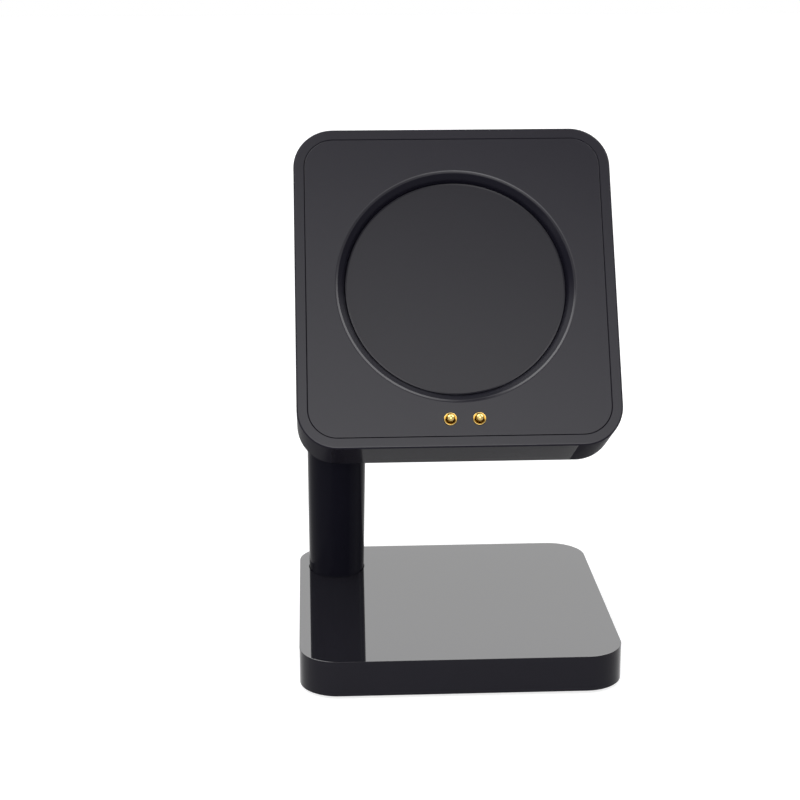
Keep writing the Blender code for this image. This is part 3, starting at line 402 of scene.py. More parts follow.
def carved(name, mesh, added=(), removed=()):
    """The mesh with some shapes joined to it and others then cut away."""
    scene = bpy.context.scene
    obj = bpy.data.objects.new(name, mesh)
    scene.collection.objects.link(obj)
    helpers = []
    for operation, shapes in (("UNION", added), ("DIFFERENCE", removed)):
        if not shapes:
            continue
        group = bpy.data.collections.new(f"{name}_{operation.lower()}")
        scene.collection.children.link(group)
        for shape in shapes:
            helper = bpy.data.objects.new(shape.name, shape)
            group.objects.link(helper)
            helpers.append(helper)
        modifier = obj.modifiers.new(operation.lower(), "BOOLEAN")
        modifier.operation = operation
        modifier.solver = "EXACT"
        modifier.operand_type = "COLLECTION"
        modifier.collection = group
    graph = bpy.context.evaluated_depsgraph_get()
    done = bpy.data.meshes.new_from_object(obj.evaluated_get(graph))
    done.name = name
    for helper in [*helpers, obj]:
        bpy.data.objects.remove(helper, do_unlink=True)
    for group in list(scene.collection.children):
        if group.name.startswith(f"{name}_"):
            bpy.data.collections.remove(group)
    shape = bmesh.new()
    shape.from_mesh(done)
    bmesh.ops.remove_doubles(shape, verts=shape.verts, dist=MERGE_DISTANCE)
    bmesh.ops.dissolve_degenerate(shape, edges=shape.edges, dist=MERGE_DISTANCE)
    shape.to_mesh(done)
    shape.free()
    return done


def show(name, mesh, finish, matrix, body, slot, *nodes, sharp=SHARP_ANGLE):
    """Puts a piece in place of the CAD nodes that it stands for."""
    mesh.materials.clear()
    mesh.materials.append(finish)
    mesh.shade_smooth()
    mesh.set_sharp_from_angle(angle=math.radians(sharp))
    obj = bpy.data.objects.new(name, mesh)
    bpy.context.scene.collection.objects.link(obj)
    obj.matrix_world = matrix
    flat = obj.modifiers.new("flat_faces_stay_flat", "WEIGHTED_NORMAL")
    flat.keep_sharp = True
    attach(obj, body)
    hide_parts(*nodes)
    return obj


def refinish(obj, finish, chosen):
    """Another finish for the faces that are chosen by their middle and their normal."""
    obj.data.materials.append(finish)
    for polygon in obj.data.polygons:
        if chosen(polygon.center, polygon.normal):
            polygon.material_index = len(obj.data.materials) - 1


# Shader nodes


class Signal:
    """An output of a shader node that can be reckoned with like a number."""

    def __init__(self, graph, output):
        self.graph = graph
        self.output = output

    def __add__(self, other):
        return self.graph.maths("ADD", self, other)

    def __radd__(self, other):
        return self.graph.maths("ADD", other, self)

    def __sub__(self, other):
        return self.graph.maths("SUBTRACT", self, other)

    def __rsub__(self, other):
        return self.graph.maths("SUBTRACT", other, self)

    def __mul__(self, other):
        return self.graph.maths("MULTIPLY", self, other)

    def __rmul__(self, other):
        return self.graph.maths("MULTIPLY", other, self)

    def above(self, level):
        return self.graph.maths("GREATER_THAN", self, level)

    def clamped(self):
        return self.graph.maths("MAXIMUM", self.graph.maths("MINIMUM", self, 1.0), 0.0)


class Graph:
    """The nodes of one material or of the surroundings."""

    def __init__(self, tree):
        self.tree = tree
        tree.nodes.clear()

    def node(self, kind, settings=(), inputs=()):
        made = self.tree.nodes.new(kind)
        for key, value in dict(settings).items():
            setattr(made, key, value)
        for key, value in dict(inputs).items():
            if isinstance(value, Signal):
                self.tree.links.new(value.output, made.inputs[key])
            else:
                made.inputs[key].default_value = value
        return made

    def out(self, made, key=0):
        return Signal(self, made.outputs[key])

    def maths(self, operation, first, second):
        made = self.node(
            "ShaderNodeMath", {"operation": operation}, {0: first, 1: second})
        return self.out(made)

    def ramp(self, value, low, high, start, end):
        """The value taken from low..high to start..end, smoothly and held at both ends."""
        made = self.node(
            "ShaderNodeMapRange", {"interpolation_type": "SMOOTHSTEP", "clamp": True},
            {0: value, 1: low, 2: high, 3: start, 4: end})
        return self.out(made)

    def mix(self, factor, first, second):
        """Two colours mixed."""
        made = self.node("ShaderNodeMix", {"data_type": "RGBA"}, {0: factor, 6: first, 7: second})
        return self.out(made, 2)

    def here(self):
        """The place on the piece, in its own coordinates."""
        return self.out(self.node("ShaderNodeTexCoord"), "Object")

    def stretched(self, place, factors):
        made = self.node(
            "ShaderNodeVectorMath", {"operation": "MULTIPLY"}, {0: place, 1: factors})
        return self.out(made)

    def parts(self, place):
        made = self.node("ShaderNodeSeparateXYZ", (), {0: place})
        return [self.out(made, i) for i in range(3)]

    def noise(self, place, scale, detail=2.0, roughness=0.5):
        made = self.node(
            "ShaderNodeTexNoise", (),
            {"Vector": place, "Scale": scale, "Detail": detail, "Roughness": roughness})
        return self.out(made)

    def cells(self, place, scale):
        """How far each place is from the middle of its cell."""
        made = self.node("ShaderNodeTexVoronoi", (), {"Vector": place, "Scale": scale})
        return self.out(made)

    def bump(self, height, distance, strength=1.0):
        made = self.node(
            "ShaderNodeBump", (), {"Height": height, "Distance": distance, "Strength": strength})
        return self.out(made)

    def surface(self, **inputs):
        """The shader and the output that it feeds."""
        named = {key.replace("_", " "): value for key, value in inputs.items()}
        shader = self.node("ShaderNodeBsdfPrincipled", (), named)
        self.node("ShaderNodeOutputMaterial", (), {"Surface": self.out(shader)})


def new_graph(name):
    made = bpy.data.materials.new(name)
    made.use_nodes = True
    return made, Graph(made.node_tree)


def shade(colour, factor):
    return (*(channel * factor for channel in colour), 1.0)


def satin_plastic(name, colour, roughness, grain=9000.0, level=0.5, dull_right=0.0):
    """Moulded plastic with a fine even grain and a faintly uneven sheen, and where it is
    given, a duller right half."""
    made, graph = new_graph(name)
    here = graph.here()
    if dull_right:
        roughness = graph.ramp(graph.parts(here)[0], *DULL_RIGHT_SPAN, roughness, dull_right)
    cloud = graph.noise(here, 90.0, 3.0)
    fine = graph.noise(here, grain, 2.0, 0.6)
    sheen = graph.noise(here, 420.0, 3.0, 0.6)
    graph.surface(
        Base_Color=graph.mix(cloud, shade(colour, 0.94), shade(colour, 1.06)),
        Roughness=roughness + (sheen - 0.5) * 0.04 + (fine - 0.5) * 0.03,
        Specular_IOR_Level=level,
        Normal=graph.bump(fine, 0.003 * MM, 0.3),
    )
    return made


def gloss_plastic(name, colour, roughness, coat, level, coat_behind=0.0):
    """Polished plastic under a clear coat, with the faint waviness of a moulded surface, and
    where it is given, another coat on its rear half."""
    made, graph = new_graph(name)
    here = graph.here()
    if coat_behind:
        coat = graph.ramp(graph.parts(here)[1], *COAT_BEHIND_SPAN, coat, coat_behind)
    wave = graph.noise(here, 160.0, 2.0)
    dust = graph.cells(here, 1500.0).above(0.06)
    veil = graph.noise(here, 240.0, 4.0, 0.6)
    graph.surface(
        Base_Color=graph.mix(veil, shade(colour, 0.9), shade(colour, 1.1)),
        Roughness=roughness + (veil - 0.5) * 0.02 + (1.0 - dust) * 0.05,
        Specular_IOR_Level=level,
        Coat_Weight=coat,
        Coat_Roughness=0.02,
        Normal=graph.bump(wave, 0.004 * MM, 0.2),
    )
    return made


def rough_plastic(name, colour, roughness):
    """Unpolished plastic or rubber, with a spark-eroded texture."""
    made, graph = new_graph(name)
    here = graph.here()
    pits = graph.noise(here, 3200.0, 3.0, 0.65)
    cloud = graph.noise(here, 150.0, 3.0)
    graph.surface(
        Base_Color=graph.mix(cloud, shade(colour, 0.85), shade(colour, 1.15)),
        Roughness=roughness + (pits - 0.5) * 0.14,
        Normal=graph.bump(pits, 0.03 * MM, 0.5),
    )
    return made


def turned_metal(name, colour, roughness):
    """Plated metal with fine turning marks round its axis and a few darker spots."""
    made, graph = new_graph(name)
    here = graph.here()
    marks = graph.noise(graph.stretched(here, (0.05, 0.05, 1.0)), 5200.0, 2.0)
    spots = graph.noise(here, 1900.0, 3.0, 0.6)
    wear = graph.ramp(spots, 0.55, 0.8, 0.0, 0.35)
    graph.surface(
        Base_Color=graph.mix(wear, shade(colour, 1.0), shade(colour, 0.72)),
        Metallic=1.0,
        Roughness=roughness + (marks - 0.5) * 0.08 + wear * 0.15,
        Normal=graph.bump(marks, 0.004 * MM, 0.4),
    )
    return made


def drawn_metal(name, colour, roughness):
    """Sheet or rolled metal with a brushed direction and a thin film of handling."""
    made, graph = new_graph(name)
    here = graph.here()
    brush = graph.noise(graph.stretched(here, (1.0, 0.06, 1.0)), 5200.0, 4.0, 0.7)
    film = graph.noise(here, 380.0, 4.0, 0.6)
    graph.surface(
        Base_Color=graph.mix(film, shade(colour, 0.82), shade(colour, 1.08)),
        Metallic=1.0,
        Roughness=roughness + (brush - 0.5) * 0.18 + (film - 0.5) * 0.1,
        Normal=graph.bump(brush, 0.006 * MM, 0.35),
    )
    return made


def circuit_board(name):
    """Green solder mask over copper tracks, with tinned pads."""
    made, graph = new_graph(name)
    here = graph.here()
    across, up = graph.parts(here)[:2]
    bend = graph.noise(here, 260.0, 1.0) * 0.9
    tracks = graph.maths("SINE", (across + up * 0.35) * 5200.0 + bend * 9.0, 0.0)
    track = graph.ramp(tracks, 0.35, 0.7, 0.0, 1.0)
    pads = 1.0 - graph.cells(here, 620.0).above(0.2)
    mask = graph.mix(track, (0.008, 0.07, 0.03, 1.0), (0.02, 0.15, 0.07, 1.0))
    graph.surface(
        Base_Color=graph.mix(pads, mask, (0.62, 0.62, 0.6, 1.0)),
        Metallic=pads,
        Roughness=0.38 - pads * 0.08 + (graph.noise(here, 900.0, 3.0) - 0.5) * 0.1,
        Normal=graph.bump(track + pads, 0.015 * MM, 0.5),
    )
    return made


FACE_SATIN = satin_plastic("satin_dark_plastic", (0.0118, 0.011, 0.0155), 0.15, level=0.24)
# The shell's plastic is lighter than the face's and nearly without gloss: its lighter colour is a
# painted sheen in place of its reflection.
SHELL_PAINTED_SHEEN = satin_plastic("shell_painted_sheen", (0.016, 0.015, 0.0205), 0.24, level=0.0004)
UNDERSIDE_SATIN = satin_plastic("satin_underside", (0.013, 0.012, 0.0165), 0.06, level=0.0115,
                                dull_right=0.22)
BACK_SATIN = satin_plastic("satin_back", (0.014, 0.013, 0.018), 0.3, level=0.3)
# The dish wall's plastic is a darker copy of the face's: its dark colour is painted shade in the
# dish's hollow.
WALL_PAINTED_SHADE = satin_plastic("dish_wall_painted_shade", (0.0052, 0.0049, 0.0087), 0.26, level=0.055)
PAD_SATIN = satin_plastic("satin_pad", (0.0095, 0.0088, 0.0125), 0.15, 7000.0, level=0.22)
PAD_RIM_GLOSS = gloss_plastic("polished_pad_rim", (0.009, 0.0085, 0.012), 0.16, 0.0, 0.11)
COLUMN_LACQUER = gloss_plastic("black_lacquer", (0.0062, 0.006, 0.0098), 0.09, 0.0, 0.006,
                               coat_behind=0.5)
BASE_TOP_GLOSS = gloss_plastic("mirror_gloss_top", (0.017, 0.0165, 0.021), 0.03, 1.0, 0.8)
BASE_SIDE_GLOSS = gloss_plastic("gloss_side", (0.0065, 0.006, 0.0095), 0.12, 0.0, 0.11)
INNER_BLACK = rough_plastic("unpolished_black_plastic", (0.02, 0.02, 0.022), 0.55)
SILICONE = rough_plastic("black_silicone", (0.02, 0.02, 0.02), 0.72)
RED_SLEEVE = rough_plastic("red_wire_sleeve", (0.45, 0.02, 0.02), 0.45)
BLACK_SLEEVE = rough_plastic("black_wire_sleeve", (0.015, 0.015, 0.016), 0.45)
GOLD = turned_metal("gold_plate", (0.43, 0.31, 0.11), 0.05)
SPRING_WIRE_STEEL = turned_metal("spring_wire", (0.6, 0.59, 0.57), 0.25)
NICKEL = drawn_metal("nickel_plate", (0.66, 0.65, 0.62), 0.22)
STEEL = drawn_metal("oiled_steel", (0.55, 0.55, 0.56), 0.3)
BOARD_GREEN = circuit_board("circuit_board")

FINISHES = {
    "inner_plastic": INNER_BLACK,
    "nickel_plate": NICKEL,
    "steel": STEEL,
    "board": BOARD_GREEN,
    "red_sleeve": RED_SLEEVE,
    "black_sleeve": BLACK_SLEEVE,
    "silicone": SILICONE,
}
CARRIED_OVER = {
    "base_cover": "inner_plastic",
    "inlet_tongue": "inner_plastic",
    "inlet_shell": "nickel_plate",
    "ballast_plate": "steel",
    "cross_pin": "steel",
    "contact_board": "board",
    "base_board": "board",
    "wire_red": "red_sleeve",
    "wire_black": "black_sleeve",
    "foot_pad": "silicone",
}
for i in range(1, 5):
    CARRIED_OVER[f"magnet_{i}"] = "nickel_plate"
    CARRIED_OVER[f"cover_screw_{i}"] = "steel"
for i in range(1, 3):
    CARRIED_OVER[f"board_screw_{i}"] = "steel"
    CARRIED_OVER[f"column_screw_{i}"] = "steel"


def dress_carried_over():
    """The finish of each CAD node that is shown as it is."""
    for name, kind in CARRIED_OVER.items():
        obj = frame["nodes"][name]
        obj.data.materials.clear()
        obj.data.materials.append(FINISHES[kind])


# Pieces


def walls_with_hooks():
    """Each hook's place: the angle of its wall, its place along it and the wall's distance."""
    side, end = POCKET_WIDTH / 2, POCKET_HEIGHT / 2
    lower = POCKET_WIDTH / 2 - POCKET_CORNER - HOOK_WIDTH / 2
    return [
        (0, -HOOK_SIDE, side),
        (0, HOOK_SIDE, side),
        (90, -HOOK_SIDE, end),
        (90, HOOK_SIDE, end),
        (180, -HOOK_SIDE, side),
        (270, lower, end),
    ]


def on_wall(angle):
    return Matrix.Rotation(math.radians(angle), 4, "Z")


def column_rod(name, gap, bottom, top):
    return rod(name, COLUMN_RADIUS + gap, bottom, top, COLUMN_STEPS)


def cross_pin_hole(name, reach):
    """The hole for the pin through the socket and the column, in face coordinates."""
    to_head = HEAD.inverted() @ COLUMN
    start = to_head @ Vector((0, 0, COLUMN_LENGTH))
    along = to_head.to_3x3() @ Vector((0, 0, 1))
    middle = start + along * ((BACK_INSIDE + SOCKET_RISE / 2 - start.z) / along.z)
    hole = rod(name, CROSS_PIN_RADIUS + PIN_GAP, -COLUMN_RADIUS - reach,
               COLUMN_RADIUS + SOCKET_WALL + reach)
    return moved(hole, Matrix.Translation(middle) @ Matrix.Rotation(math.pi / 2, 4, "Y"))


def below_head(place):
    return place.y < HEAD_EDGE / 2 - HEAD_HEIGHT / 2


def part_underside(mesh, stop):
    """An edge across the flat underside of the head, where its sheen stops."""
    shape = bmesh.new()
    shape.from_mesh(mesh)
    flat = [face for face in shape.faces if face.normal.y < UNDERSIDE_FLAT
            and below_head(face.calc_center_median())]
    around = {item for face in flat for item in (*face.verts, *face.edges)}
    bmesh.ops.bisect_plane(shape, geom=[*flat, *around], plane_co=(stop, 0, 0),
                           plane_no=(1, 0, 0))
    shape.to_mesh(mesh)
    shape.free()


def head_shell():
    """The rear shell of the head, with the column's socket and the snap catches."""
    to_head = HEAD.inverted() @ COLUMN
    outside = slab("head_outside", HEAD_WIDTH, HEAD_HEIGHT, HEAD_CORNER, -HEAD_DEPTH, 0,
                   HEAD_EDGE, HEAD_EDGE)
    pocket = flared_pocket("head_pocket", POCKET_WIDTH, POCKET_HEIGHT, POCKET_CORNER,
                           BACK_INSIDE, 0, HEAD_DEPTH, FINE_EDGE)
    tray = carved("head_tray", outside, (), [pocket])
    sleeve = carved(
        "socket_sleeve",
        moved(rod("sleeve", COLUMN_RADIUS + SOCKET_WALL, COLUMN_LENGTH - HEAD_DEPTH,
                  COLUMN_LENGTH + HEAD_DEPTH, COLUMN_STEPS), to_head),
        (),
        [
            block("above_socket", (-HEAD_WIDTH, -HEAD_HEIGHT, BACK_INSIDE + SOCKET_RISE),
                  (HEAD_WIDTH, HEAD_HEIGHT, HEAD_WIDTH)),
            block("behind_socket", (-HEAD_WIDTH, -HEAD_HEIGHT, -HEAD_WIDTH),
                  (HEAD_WIDTH, HEAD_HEIGHT, BACK_INSIDE - BACK_WALL / 2)),
            block("beside_socket", (-HEAD_WIDTH, -HEAD_HEIGHT, -HEAD_WIDTH),
                  ((RIM_WALL - HEAD_WIDTH) / 2, HEAD_HEIGHT, HEAD_WIDTH)),
        ])
    catches = []
    for angle, along, wall in walls_with_hooks():
        low = (wall - CATCH_REACH, along - HOOK_WIDTH / 2, CATCH_BOTTOM)
        high = (wall + RIM_WALL / 2, along + HOOK_WIDTH / 2, CATCH_BOTTOM + CATCH_HEIGHT)
        catches.append(moved(block("catch", low, high), on_wall(angle)))
    hole = moved(column_rod("column_hole", COLUMN_LINE, 0, COLUMN_LENGTH + HEAD_DEPTH), to_head)
    mesh = carved("head_shell", tray, [sleeve, *catches],
                  [hole, cross_pin_hole("pin_hole", SEAM)])
    # The shell's sides, top and the underside's right end keep the lighter copy, a painted sheen.
    obj = show("head_shell", mesh, SHELL_PAINTED_SHEEN, HEAD, "stand", "head_plastic", "head_housing")
    stop = HEAD_WIDTH / 2 - HEAD_CORNER - UNDERSIDE_STOP
    part_underside(obj.data, stop)
    refinish(obj, FACE_SATIN, lambda at, out: at.z > -HEAD_EDGE and out.z > FRONT_SLOPE)
    refinish(obj, UNDERSIDE_SATIN,
             lambda at, out: below_head(at) and out.y < UNDERSIDE_SLOPE and at.x < stop)
    refinish(obj, BACK_SATIN,
             lambda at, out: at.z < HEAD_EDGE - HEAD_DEPTH and out.z < BACK_SLOPE)


def softened(before, corner, after, reach):
    """Points of a smooth bend that takes the place of a corner."""
    start = corner + (before - corner).normalized() * reach
    end = corner + (after - corner).normalized() * reach
    shares = [i / BEND_STEPS for i in range(BEND_STEPS + 1)]
    return [
        tuple(start * (1 - t) ** 2 + corner * 2 * t * (1 - t) + end * t**2) for t in shares
    ]


def dish_profile():
    """The dish's hollow: a narrow lip, a wall that steepens downwards and the pad's seat."""
    rim = Vector((DISH_OUTER, 0))
    turn = Vector((DISH_OUTER - LIP_WIDTH, -LIP_FALL))
    bend = Vector((WALL_BEND_RADIUS, -WALL_BEND_DEPTH))
    foot = Vector((DISH_FLOOR_RADIUS, PAD_TOP))
    outside = rim + Vector((LIP_EDGE, 0))
    lip = (
        softened(outside, rim, turn, LIP_EDGE)
        + softened(rim, turn, bend, LIP_TURN)
        + softened(turn, bend, foot, WALL_BEND)
    )
    return [
        (0, HEAD_DEPTH),
        (outside.x, HEAD_DEPTH),
        *lip,
        tuple(foot),
        (DISH_FLOOR_RADIUS, PAD_SEAT),
        (0, PAD_SEAT),
    ]


def pin_places():
    left = PIN_PAIR_X - PIN_PITCH / 2
    return {"left": (left, PIN_Y), "right": (left + PIN_PITCH, PIN_Y)}


def magnet_places():
    for i in range(4):
        angle = math.radians(45 + 90 * i)
        yield (MAGNET_CIRCLE * math.cos(angle), MAGNET_CIRCLE * math.sin(angle))


def snap_hook(angle, along, wall):
    """A hook behind the face, in face coordinates."""
    outer = wall - HOOK_OUTSIDE
    inner = outer - HOOK_THICKNESS
    outline = [
        (inner, -FACE_THICKNESS / 2),
        (inner, -FACE_THICKNESS - HOOK_LENGTH),
        (outer - HOOK_BARB / 2, -FACE_THICKNESS - HOOK_LENGTH),
        (outer + HOOK_BARB, HOOK_TOP - HOOK_BARB),
        (outer + HOOK_BARB, HOOK_TOP),
        (outer, HOOK_TOP),
        (outer, -FACE_THICKNESS / 2),
    ]
    hook = layered("snap_hook", [(outline, -HOOK_WIDTH / 2), (outline, HOOK_WIDTH / 2)])
    upright = Matrix.Rotation(math.pi / 2, 4, "X")
    return moved(hook, on_wall(angle) @ Matrix.Translation((0, along, 0)) @ upright)


def face():
    """The front plate with the dish, the contact holes, magnet cups, posts and snap hooks."""
    plate = slab("plate", POCKET_WIDTH - 2 * FACE_LINE, POCKET_HEIGHT - 2 * FACE_LINE,
                 POCKET_CORNER - FACE_LINE, -FACE_THICKNESS, 0, 0, FINE_EDGE)
    added = [rod("dish_pan", PAN_RADIUS, PAN_BACK, -FACE_THICKNESS / 2, DISH_STEPS)]
    removed = [turned("dish_hollow", dish_profile(), DISH_STEPS)]
    for at in magnet_places():
        added.append(rod("cup", MAGNET_RADIUS + FIT_GAP + CUP_WALL, PAN_BACK - MAGNET_THICKNESS,
                         PAN_BACK + DISH_FLOOR_WALL / 2, at=at))
        removed.append(rod("cup_hollow", MAGNET_RADIUS + FIT_GAP, -HEAD_DEPTH, PAN_BACK, at=at))
    for at in BOARD_SCREWS:
        added.append(rod("post", SCREW_RADIUS + POST_WALL, BOARD_FRONT + FIT_GAP,
                         -FACE_THICKNESS / 2, at=at))
        removed.append(rod("post_hole", SCREW_RADIUS + SEAM, -HEAD_DEPTH,
                           BOARD_BACK + BOARD_SCREW_LENGTH + FIT_GAP, at=at))
    for place in walls_with_hooks():
        added.append(snap_hook(*place))
    for at in pin_places().values():
        removed.append(rod("contact_hole", COLLAR_RADIUS + PIN_GAP / 2, -HEAD_DEPTH, HEAD_DEPTH,
                           at=at))
    obj = show("face", carved("face", plate, added, removed), FACE_SATIN, HEAD, "stand",
               "head_plastic", "face_plate")
    # The dish's wall takes the darker copy, painted shade in the hollow.
    refinish(obj, WALL_PAINTED_SHADE, lambda at, out: at.xy.length < DISH_OUTER - LIP_WIDTH
             and PAD_SEAT < at.z < -LIP_FALL and out.z < DISH_WALL_SLOPE)


def pad():
    """The thin round pad on the floor of the dish, with a fine raised rim."""
    radius = DISH_FLOOR_RADIUS - PAD_LINE
    bottom = PAD_TOP - PAD_THICKNESS
    crest = (radius - PAD_LINE, PAD_TOP + PAD_RIM_RISE)
    profile = [
        (0, PAD_TOP),
        (crest[0] - PAD_RIM_WIDTH, PAD_TOP),
        crest,
        (radius, crest[1] - PAD_LINE),
        (radius, bottom),
        (0, bottom),
    ]
    obj = show("pad", turned("pad", profile, DISH_STEPS), PAD_SATIN, HEAD, "stand",
               "pad_plastic", "dish_pad", sharp=PAD_SHARP_ANGLE)
    refinish(obj, PAD_RIM_GLOSS, lambda at, out: at.z > PAD_TOP and out.z < PAD_RIM_SLOPE)


def contacts():
    """Barrels with their dished collars, plungers with domed tips, and their springs."""
    flange_top = -FACE_THICKNESS - SEAM
    collar = arc((COLLAR_RADIUS - COLLAR_EDGE, COLLAR_TOP - COLLAR_EDGE),
                 (COLLAR_EDGE, COLLAR_EDGE), 120, 0, COLLAR_STEPS)
    barrel = [
        (0, BARREL_FLOOR),
        (BARREL_BORE, BARREL_FLOOR),
        (BARREL_BORE, SHOULDER_TOP + 2 * PIN_GAP),
        (MOUTH_RADIUS, SHOULDER_TOP + 2 * PIN_GAP + (BARREL_BORE - MOUTH_RADIUS) / 2),
        (MOUTH_RADIUS, COLLAR_TOP - COLLAR_FALL),
        *collar,
        (COLLAR_RADIUS, flange_top),
        (BARREL_RADIUS, flange_top),
        (BARREL_RADIUS, BARREL_BACK),
        (0, BARREL_BACK),
    ]
    shoulder = BARREL_BORE - 1.5 * PIN_GAP
    nub = PIN_TIP_RADIUS - 2 * PIN_GAP
    nub_end = SHOULDER_BOTTOM - NUB_LENGTH
    plunger = [
        (0, PIN_RISE),
        *arc((0, PIN_RISE - PIN_DOME), (PIN_TIP_RADIUS, PIN_DOME), 90, 0, DOME_STEPS)[1:],
        (PIN_TIP_RADIUS, SHOULDER_TOP + PIN_GAP),
        (shoulder, SHOULDER_TOP - PIN_GAP),
        (shoulder, SHOULDER_BOTTOM),
        (nub, SHOULDER_BOTTOM),
        (nub, nub_end),
        (0, nub_end),
    ]
    low = BARREL_FLOOR + SPRING_WIRE + PIN_GAP
    high = SHOULDER_BOTTOM - SPRING_WIRE - PIN_GAP
    radius = BARREL_BORE - SPRING_WIRE - 2 * PIN_GAP
    count = round(SPRING_TURNS * SMALL_STEPS / 2)
    coil = []
    for i in range(count + 1):
        angle = 2 * math.pi * SPRING_TURNS * i / count
        height = low + (high - low) * i / count
        coil.append(Vector((radius * math.cos(angle), radius * math.sin(angle), height)))
    length = high - low + 2 * SPRING_WIRE
    for side, (x, y) in pin_places().items():
        at = HEAD @ Matrix.Translation((x, y, 0))
        show(f"barrel_{side}", turned("barrel", barrel, SMALL_STEPS), GOLD, at, "stand",
             "gold_plate", f"contact_barrel_{side}")
        show(f"plunger_{side}", turned("plunger", plunger, SMALL_STEPS), GOLD, at,
             f"plunger_{side}", "gold_plate", f"contact_plunger_{side}")
        wound = swept("spring", coil, SPRING_WIRE, SPRING_WIRE_SIDES)
        spring = show(f"spring_{side}", wound, SPRING_WIRE_STEEL, at, "stand", "spring_steel",
                      f"contact_spring_{side}")
        spring.modifiers.clear()
        at @ Vector((0, 0, low - SPRING_WIRE))
        1 - (PIN_TRAVEL + PIN_GAP / 4) / length
        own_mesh(spring)


def column_y_at(height):
    """Where the column's axis passes a height above the ground."""
    return COLUMN_FOOT_Y + (BASE_TOP - height) * math.tan(COLUMN_LEAN)


COLUMN_SCREWS = [
    (COLUMN_X - FLANGE_SCREW_LEFT, COLUMN_FOOT_Y - FLANGE_FRONT + FLANGE_SCREW_INSET),
    (COLUMN_X + FLANGE_SIDE - FLANGE_SCREW_INSET, FLANGE_BACK - FLANGE_SCREW_INSET),
]
COVER_SCREWS = [
    (SCREW_INSET - BASE_WIDTH / 2, SCREW_INSET - BASE_DEPTH / 2),
    (BASE_WIDTH / 2 - SCREW_INSET, SCREW_INSET - BASE_DEPTH / 2),
    (BASE_WIDTH / 2 - SCREW_INSET, BASE_DEPTH / 2 - SCREW_INSET),
    (SCREW_INSET - BASE_WIDTH / 2, COLUMN_FOOT_Y - FLANGE_FRONT - SCREW_BEFORE_FLANGE),
]


def column_tube():
    """The leaning tube, mitred at its top, with its flange under the top of the base."""
    to_column = COLUMN.inverted()
    tube = carved(
        "tube", column_rod("tube_rod", 0, -3 * BASE_TOP, COLUMN_LENGTH + 1.5 * HEAD_DEPTH), (),
        [
            moved(block("foot_cut", (-BASE_WIDTH, -BASE_DEPTH, -BASE_WIDTH),
                        (BASE_WIDTH, BASE_DEPTH, FLANGE_BOTTOM + FLANGE_THICKNESS / 2)),
                  to_column),
            moved(block("mitre", (-HEAD_WIDTH, -HEAD_HEIGHT, MITRE_DEPTH),
                        (HEAD_WIDTH, HEAD_HEIGHT, HEAD_WIDTH)), to_column @ HEAD),
        ])
    outline = rounded_outline(
        (FLANGE_LEFT, COLUMN_FOOT_Y - FLANGE_FRONT), (COLUMN_X + FLANGE_SIDE, FLANGE_BACK),
        (FLANGE_CORNER, FLANGE_CORNER, FLANGE_CORNER, BASE_CORNER - BASE_WALL))
    flange = moved(layered("flange", [(outline, FLANGE_BOTTOM), (outline, FLANGE_TOP)]),
                   to_column)
    wire_y = column_y_at(FLANGE_TOP)
    removed = [
        rod("column_bore", COLUMN_BORE, -4 * BASE_TOP, COLUMN_LENGTH + 2 * HEAD_DEPTH,
            COLUMN_STEPS),
        moved(block("wire_slot", (COLUMN_X, wire_y - WIRE_SLOT, -BASE_TOP),
                    (COLUMN_X + 2 * FLANGE_SIDE, wire_y + WIRE_SLOT, BASE_CEILING - SEAM)),
              to_column),
        moved(cross_pin_hole("column_pin_hole", HEAD_WIDTH), to_column @ HEAD),
    ]
    seat = FLANGE_BOTTOM + SCREW_HEAD_HEIGHT + PIN_GAP
    for at in COLUMN_SCREWS:
        for name, radius, low, high in (
            ("flange_hole", SCREW_RADIUS + FIT_GAP, 0, BASE_TOP),
            ("flange_recess", SCREW_HEAD_RADIUS + FIT_GAP, -BASE_TOP, seat),
        ):
            removed.append(moved(rod(name, radius, low, high, at=at), to_column))
    show("column_tube", carved("column_tube", tube, [flange], removed), COLUMN_LACQUER, COLUMN,
         "stand", "column_gloss", "column")


def base_tray():
    """The base's glossy shell, open below, with screw bosses under its top."""
    outside = slab("base_outside", BASE_WIDTH, BASE_DEPTH, BASE_CORNER, BASE_BOTTOM, BASE_TOP,
                   BASE_EDGE, BASE_EDGE)
    pocket = slab("base_pocket", BASE_WIDTH - 2 * BASE_WALL, BASE_DEPTH - 2 * BASE_WALL,
                  BASE_CORNER - BASE_WALL, -BASE_TOP, BASE_CEILING)
    tray = carved("base_hollow", outside, (), [pocket])
    bosses = [(at, SCREW_CUP_TOP + FIT_GAP) for at in COVER_SCREWS]
    bosses += [(at, FLANGE_TOP + FIT_GAP) for at in COLUMN_SCREWS]
    added, removed = [], []
    for at, bottom in bosses:
        added.append(rod("boss", SCREW_RADIUS + BOSS_WALL, bottom,
                         BASE_CEILING + BASE_TOP_WALL / 2, at=at))
        removed.append(rod("pilot_hole", SCREW_RADIUS + SEAM, -BASE_TOP, SCREW_TIP + FIT_GAP,
                           at=at))
    removed.append(moved(column_rod("foot_hole", COLUMN_LINE, -2 * BASE_TOP, 2 * BASE_TOP),
                         COLUMN))
    low = (-INLET_WIDTH / 2 - FIT_GAP, INLET_REAR - 2 * BASE_WALL,
           INLET_MIDDLE - INLET_HEIGHT / 2 - FIT_GAP)
    high = (INLET_WIDTH / 2 + FIT_GAP, BASE_DEPTH, INLET_MIDDLE + INLET_HEIGHT / 2 + FIT_GAP)
    removed.append(block("rear_window", low, high))
    obj = show("base_tray", carved("base_tray", tray, added, removed), BASE_SIDE_GLOSS, STANDING,
               "stand", "base_gloss", "base_shell")
    refinish(obj, BASE_TOP_GLOSS,
             lambda at, out: at.z > BASE_TOP - BASE_EDGE and out.z > BASE_TOP_SLOPE)


head_shell()
face()
pad()
contacts()
column_tube()
base_tray()
dress_carried_over()


